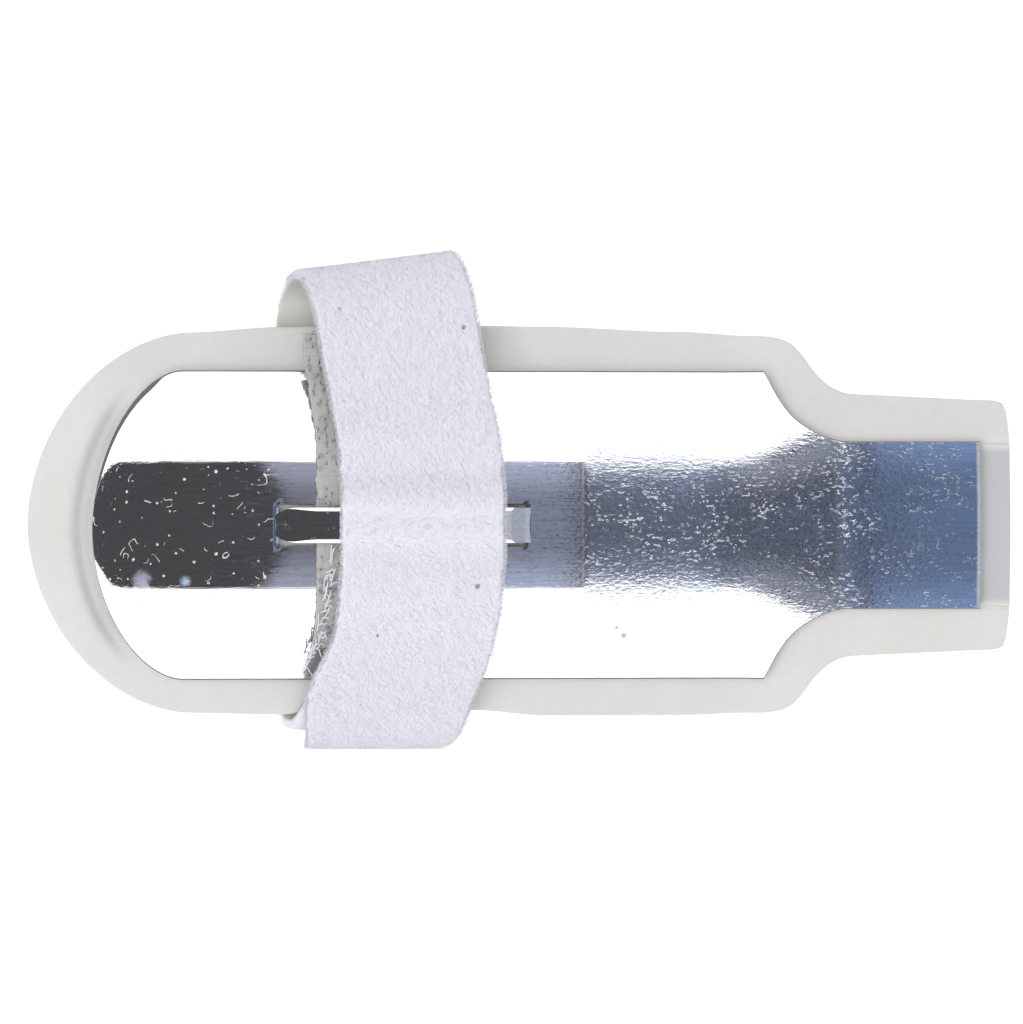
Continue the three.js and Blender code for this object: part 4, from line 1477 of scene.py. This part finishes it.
@dataclass
class PileStrap:
    """The white pile strap, wound from under the hook tape's end round the splint and over itself."""

    shop: Workshop
    path: TapePath
    finish: BrushedPile = BrushedPile("brushed_pile")
    nap_finish: BrushedPile = BrushedPile("lying_nap", strength=0.1)
    steps: int = 620
    wobble: float = 0.12
    nap_height: float = 0.22
    nap_columns: int = 30
    edge_columns: int = 4
    reach_share: float = 0.99
    end_shift: float = -0.7
    end_cover: float = 0.6
    end_cut: float = 3.4
    overhang: float = 0.62
    density: float = 24.0e6
    nap: tuple = (0.000014, 0.00044, 1.38, 0.2, 1.2)
    fringe: tuple = (0.000022, 0.00042, 0.7, 0.4, 3.1)

    def build(self) -> list[bpy.types.Object]:
        """Builds the tape and the nap on its outer face and edges."""
        tapes = self.shop.tapes
        line = self.path.strap_line(self.steps)
        half = tapes.strap / 2
        maker = self.shop.maker()
        run = np.linspace(0, tapes.around, len(line))
        start = self.end_shift * smooth(run, 2.5, 6.5) * (1 - smooth(run, 9.0, 15.0))
        tape = Tape(self.path, line, -half + self.nap_height, half, start, self._left_edge(run))
        tape.build(maker, self.wobble)
        tape = maker.make("strap_tape")
        self.shop.dress(tape, self.finish, "pile_tape", "strap")
        length = self.path.length(line)
        LOG.info("strap length %.1f mm", length)
        return [tape, *self._nap(line, half)]

    def _left_edge(self, run: np.ndarray) -> np.ndarray:
        """How far the left edge stands out at each distance along the strap, its last corner cut round."""
        cover = smooth(run, 46.0, 60.0) * self.overhang + smooth(run, 89.0, 94.0) * self.end_cover
        return cover - smooth(run, 95.0, 108.0) * self.end_cut

    def _nap(self, line: np.ndarray, half: float) -> list[bpy.types.Object]:
        """Short fibres that lie over the outer face, and stand on the edges of the turn that shows."""
        over = int(np.argmax((line[:, 1] > 3.0) & (line[:, 0] > self.shop.tapes.reach * 0.9)))
        low = int(np.argmax(line[:, 1] < 1.6))
        near, far = slice(over, None), slice(0, low + 1)
        runs = (("strap_nap_near", near, 0.0), ("strap_nap_far", far, 0.0), ("strap_fringe", near, 1.0))
        cover = self._left_edge(np.linspace(0, self.shop.tapes.around, len(line)))
        pieces = []
        for name, part, edge in runs:
            maker = self.shop.maker()
            if edge:
                depth = np.linspace(-half + self.nap_height, half - 0.1, self.edge_columns + 1)
                side = np.full(len(depth), self.reach_share)
                faces = [(depth[::-1], -side), (depth, side)]
            else:
                shares = np.linspace(-self.reach_share, self.reach_share, self.nap_columns + 1)
                faces = [(np.full(len(shares), -half + self.nap_height - 0.02), shares)]
            for depth, shares in faces:
                points = self.path.face(line[part], depth[None, :], shares)
                points[:, :, 0] -= cover[part, None] * (np.abs(shares) ** 3 * (shares < 0))[None, :]
                maker.grid(points)
            host = maker.make(name + "_host", outward=False)
            thick, long, lean, spread, spin = self.fringe if edge else self.nap
            fibre = small_shape("fibre", [(0.0, -0.00004, thick, 0.0), (0.0, long, thick * 0.4, 0.0)], 3)
            density = self.density * (1 + edge)
            scatter = Scatter(Repeats.NAP, density, lean, spread, 0.6, 1.4, spin)
            piece = scatter.grow(name, host, fibre, self.shop.finish(self.nap_finish))
            self.shop.dress(piece, self.nap_finish, "pile_tape")
            pieces.append(piece)
        return pieces


@dataclass
class SnaggedThreads:
    """Loose white threads along the lower left edge of the hook tape."""

    shop: Workshop
    path: TapePath
    finish: BrushedPile = BrushedPile("loose_thread", strength=0.1)
    count: int = 34
    length: float = 1.5
    radius: float = 0.055
    sides: int = 5
    bends: int = 5
    top_y: float = -3.0
    low_y: float = -12.2

    def build(self) -> bpy.types.Object:
        """Builds the threads as bent tubes that lie beside the tape's edge."""
        rng = np.random.default_rng(SEED)
        tapes, metal = self.shop.tapes, self.shop.metal
        maker = self.shop.maker()
        for y in np.linspace(self.top_y, self.low_y, self.count) + rng.normal(0, 0.2, self.count):
            _, z, _ = self.path.on_metal(float(y), tapes.gap + tapes.hook)
            edge_x = float(tapes.x(z)) + tapes.hook_shift - tapes.width / 2
            start = np.array([edge_x + rng.uniform(-0.1, 0.5), y, 0.0])
            heading = rng.uniform(0.2, 1.3) * rng.choice([-1.0, 1.0])
            points = [start]
            for _ in range(self.bends):
                heading += rng.normal(0, 0.5)
                step = np.array([abs(math.sin(heading)) * 0.5, math.cos(heading), 0.0])
                step = step * self.length / self.bends
                points.append(points[-1] + step)
            line = spline(np.array(points), 10)
            line[:, 2] = metal.top(line[:, 0], line[:, 1]) + tapes.gap + tapes.hook + rng.uniform(0.12, 0.3)
            self._tube(maker, line)
        piece = maker.make("snagged_threads")
        self.shop.dress(piece, self.finish, "pile_tape")
        return piece

    def _tube(self, maker: MeshMaker, line: np.ndarray) -> None:
        """Adds one closed thin tube along a line."""
        ahead = np.gradient(line, axis=0)
        ahead /= np.linalg.norm(ahead, axis=1, keepdims=True)
        aside = np.cross(ahead, [0.0, 0.0, 1.0])
        aside /= np.linalg.norm(aside, axis=1, keepdims=True)
        upward = np.cross(aside, ahead)
        turn = np.linspace(0, math.tau, self.sides + 1)[None, :-1, None]
        ring = aside[:, None, :] * np.cos(turn) + upward[:, None, :] * np.sin(turn)
        points = line[:, None, :] + ring * self.radius
        ids = maker.add_points(points) + np.arange(len(line) * self.sides).reshape(-1, self.sides)
        for low, high in zip(ids[:-1], ids[1:]):
            for k in range(self.sides):
                n = (k + 1) % self.sides
                maker.face((low[k], low[n], high[n], high[k]))
        maker.face(ids[0][::-1])
        maker.face(ids[-1])


@dataclass
class HookTape:
    """The hook tape under the bridge, with its field of hooks."""

    shop: Workshop
    path: TapePath
    finish: HookPlastic = HookPlastic("hook_plastic")
    steps: int = 900
    backing: float = 0.4
    crown_shift: float = -0.9
    wobble: float = 0.2
    columns: int = 24
    reach_share: float = 0.97
    density: float = 2.6e6
    hook: tuple = ((0.0, -0.00005, 0.00007, 0.0), (0.0, 0.00022, 0.00006, 0.1),
                   (0.00005, 0.0004, 0.00006, 0.9), (0.00018, 0.00046, 0.00005, 1.7),
                   (0.00027, 0.00038, 0.00003, 2.5))

    def build(self) -> list[bpy.types.Object]:
        """Builds the backing and the hooks."""
        tapes = self.shop.tapes
        line = self.path.hook_line(self.steps)[::2]
        half = tapes.hook / 2
        maker = self.shop.maker()
        shift = tapes.hook_shift + self.crown_shift * smooth(np.abs(line[:, 0]), 11.0, 1.0)
        Tape(self.path, line, half - self.backing, half, shift).build(maker, self.wobble)
        tape = maker.make("hook_tape_back")
        self.shop.dress(tape, self.finish, "hook_tape", "hook_tape")
        length = self.path.length(line)
        maker = self.shop.maker()
        shares = np.linspace(-self.reach_share, self.reach_share, self.columns + 1)
        maker.grid(self.path.face(line, half - self.backing, shares, shift))
        host = maker.make("hook_host", outward=False)
        scatter = Scatter(Repeats.HOOKS, self.density, 0.1, 0.12, 1.0, 1.3)
        shape = small_shape("hook", self.hook, 5)
        hooks = scatter.grow("hook_field", host, shape, self.shop.finish(self.finish))
        self.shop.dress(hooks, self.finish, "hook_tape")
        return [tape, hooks]


# Studio


@dataclass
class Studio:
    """Floor, light and camera."""

    shift: np.ndarray
    pitch: float
    distance: float = 400.0
    plane: float = 6.5
    scale: float = 0.0847
    picture_width: int = 1023
    aim_x: float = -0.68
    aim_y: float = 1.10
    sensor: float = 36.0
    key_power: float = 2.35
    key_size: float = 0.42
    key_place: tuple[float, float, float] = (-0.09, -0.05, 0.58)
    floor_size: float = 1.5
    floor_drop: float = 0.00002
    floor_tone: tuple = colour(0.4, 0.4, 0.4)
    floor_glow: float = 0.8
    white: tuple = colour(1.0, 1.0, 1.0)
    opening: float = 0.335
    tip_cut: float = 0.15
    round_end: float = 0.05
    edge_glow: float = 2.0
    walls: tuple = colour(1.9, 1.9, 1.9)
    low_light: tuple = colour(0.92, 0.92, 0.92)
    high_light: tuple = colour(0.31, 0.31, 0.31)
    far_wall: tuple = colour(0.52, 0.54, 0.58)
    lens_dark: tuple = colour(0.080, 0.077, 0.080)
    dark_end: tuple[float, float] = (-19.6, 0.3)
    far_edge: tuple[float, float] = (0.15, 0.22)
    band_edge: float = 0.012
    zones: tuple = ((-40.0, 0.0, colour(0.20, 0.205, 0.245)), (-8.0, 6.0, colour(0.24, 0.26, 0.33)),
                    (5.6, 0.35, colour(0.066, 0.062, 0.063)), (15.5, 3.0, colour(0.046, 0.041, 0.040)),
                    (26.5, 0.8, colour(0.15, 0.19, 0.27)), (33.0, 4.0, colour(0.135, 0.195, 0.33)))

    def build(self) -> None:
        """Sets up everything around the object."""
        self._floor()
        self._world()
        self._lights()
        self._camera()
        bpy.context.scene.view_settings.view_transform = "Standard"

    def _floor(self) -> None:
        """A wide white floor that the object rests on."""
        bm = bmesh.new()
        bmesh.ops.create_grid(bm, x_segments=2, y_segments=2, size=self.floor_size)
        mesh = bpy.data.meshes.new("floor")
        bm.to_mesh(mesh)
        bm.free()
        for vertex in mesh.vertices:
            vertex.co.z = -self.floor_drop
        floor = bpy.data.objects.new("floor", mesh)
        bpy.context.collection.objects.link(floor)
        white = bpy.data.materials.new("floor_white")
        white.use_nodes = True
        shader = white.node_tree.nodes["Principled BSDF"]
        values = {"Base Color": self.floor_tone, "Roughness": 1.0, "Specular IOR Level": 0.0,
                  "Emission Color": self.white, "Emission Strength": self.floor_glow}
        for key, value in values.items():
            shader.inputs[key].default_value = value
        floor.data.materials.append(white)
        floor.visible_glossy = False

    def _world(self) -> None:
        """White walls, with a dark opening overhead that runs along the object, as a light tent has.

        The opening is read by the slope that a mirror would need to show it from above, and it changes
        along X.
        """
        world = bpy.data.worlds.new("tent")
        bpy.context.scene.world = world
        world.use_nodes = True
        world.node_tree.nodes.clear()
        t = Tree(world.node_tree)
        ray = t.add("ShaderNodeTexCoord").outputs["Generated"]
        x, y, z = t.add("ShaderNodeSeparateXYZ", None, Vector=ray).outputs
        under = t.math("MAXIMUM", t.math("ADD", z, 1.0), 0.02)
        along = t.math("DIVIDE", x, under)
        aside = t.math("DIVIDE", t.math("ABSOLUTE", y), under)
        square = t.math("MULTIPLY", aside, aside)
        tip = t.ramp(along, -1.6, -0.8, self.tip_cut, 0.0)
        edges = self.opening - self.band_edge, self.opening + self.band_edge
        band = t.ramp(t.math("ADD", aside, tip), *edges, 1.0, 0.0)
        glow = t.ramp(aside, 0.1, self.opening, 1.0, self.edge_glow)
        tone = self._slot(t, along)
        gloom = t.add("ShaderNodeVectorMath", {"operation": "SCALE"}, Vector=tone, Scale=glow).outputs[0]
        dark = t.ramp(t.math("MULTIPLY_ADD", square, self.round_end, along), *self._edges(*self.dark_end))
        gloom = t.blend(dark, self.lens_dark, gloom)
        gloom = t.blend(t.ramp(along, *self.far_edge), gloom, self.far_wall)
        seen = t.blend(band, self.walls, gloom)
        path = t.add("ShaderNodeLightPath").outputs
        soft = t.blend(t.ramp(z, -0.4, 1.0), self.low_light, self.high_light)
        lit = t.blend(path["Is Diffuse Ray"], seen, soft)
        shown = t.blend(path["Is Camera Ray"], lit, self.white)
        back = t.add("ShaderNodeBackground", None, Color=shown, Strength=1.0)
        out = t.add("ShaderNodeOutputWorld")
        t.put(out, "Surface", back.outputs[0])

    def _edges(self, place: float, soft: float) -> tuple[float, float]:
        """Slopes that show a place along the flat metal, a little before and after it.

        Args:
            place: The place along X, in millimetres.
            soft: Half the width of the change, in millimetres.

        Returns:
            The slope at each side.
        """
        low, high = ((place + step - self.aim_x) / (2 * self.distance) + self.pitch for step in (-soft, soft))
        return low, high

    def _slot(self, t: Tree, along: object) -> object:
        """The opening's tone, changed along X by its zones."""
        tone: object = self.zones[0][2]
        for place, soft, shade in self.zones[1:]:
            tone = t.blend(t.ramp(along, *self._edges(place, soft)), tone, shade)
        return tone

    def _lights(self) -> None:
        """A soft overhead light that the metal doesn't mirror."""
        data = bpy.data.lights.new("soft_top", "AREA")
        data.shape, data.size, data.size_y = "RECTANGLE", self.key_size, self.key_size
        data.energy = self.key_power
        lamp = bpy.data.objects.new("soft_top", data)
        lamp.location = self.key_place
        aim = Vector((0.0, 0.0, 0.0)) - lamp.location
        lamp.rotation_euler = aim.to_track_quat("-Z", "Y").to_euler()
        lamp.visible_glossy = False
        bpy.context.collection.objects.link(lamp)

    def _camera(self) -> None:
        """A camera that looks straight down on the metal side."""
        data = bpy.data.cameras.new("camera")
        data.sensor_width = self.sensor
        data.lens = self.sensor * self.distance / (self.picture_width * self.scale)
        data.clip_start, data.clip_end = 0.01, 10.0
        camera = bpy.data.objects.new("camera", data)
        aim = (np.array([self.aim_x, self.aim_y, 0.0]) + self.shift) * MM
        camera.location = (aim[0], aim[1], (self.plane + self.distance) * MM)
        bpy.context.collection.objects.link(camera)
        bpy.context.scene.camera = camera


# Putting it together


def fitted_sizes() -> tuple[Trough, Liner, Tapes, Bridge]:
    """The sizes, with the crown's height and pitch worked out from how the splint rests on its strap."""
    metal, foam, tapes, bridge = Trough(), Liner(), Tapes(), Bridge()
    edge_x = tapes.floor_x + tapes.width / 2 + tapes.lean * tapes.strap
    rest = foam.depth(metal, tapes.rest_x)
    drop = tapes.strap + tapes.gap + foam.depth(metal, edge_x) - rest - tapes.rest_clearance
    pitch = drop / (tapes.rest_x - edge_x)
    crown = rest + tapes.rest_clearance
    return Trough(pitch=pitch, crown_base=crown, crown_x=tapes.rest_x), foam, tapes, bridge


def frame_shift(metal: Trough) -> np.ndarray:
    """The move from the maker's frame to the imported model's, in millimetres, read from the metal's box."""
    _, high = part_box("shell")
    return np.array([high[0] / MM - metal.tail_x, high[1] / MM - metal.half_width, 0.0])


def main() -> None:
    """Builds the splint piece by piece and sets up the studio."""
    logging.basicConfig(level=logging.INFO, format="%(name)s %(message)s")
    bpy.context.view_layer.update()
    metal, foam, tapes, bridge = fitted_sizes()
    shift = frame_shift(metal)
    plan = RibPlan(metal, foam, bridge)
    shop = Workshop(metal, foam, tapes, bridge, shift, Effects(), plan.run())
    LOG.info("shift %s, pitch %.4f", np.round(shift, 3), metal.pitch)
    pieces = [MetalShell(shop).build(), FoamLiner(shop).build()]
    path = TapePath(shop)
    pieces += PileStrap(shop, path).build()
    pieces += HookTape(shop, path).build()
    pieces.append(SnaggedThreads(shop, path).build())
    for piece in pieces:
        LOG.info("%s: %d faces", piece.name, len(piece.data.polygons))
    Studio(shift, metal.pitch).build()


if __name__ == "__main__":
    main()
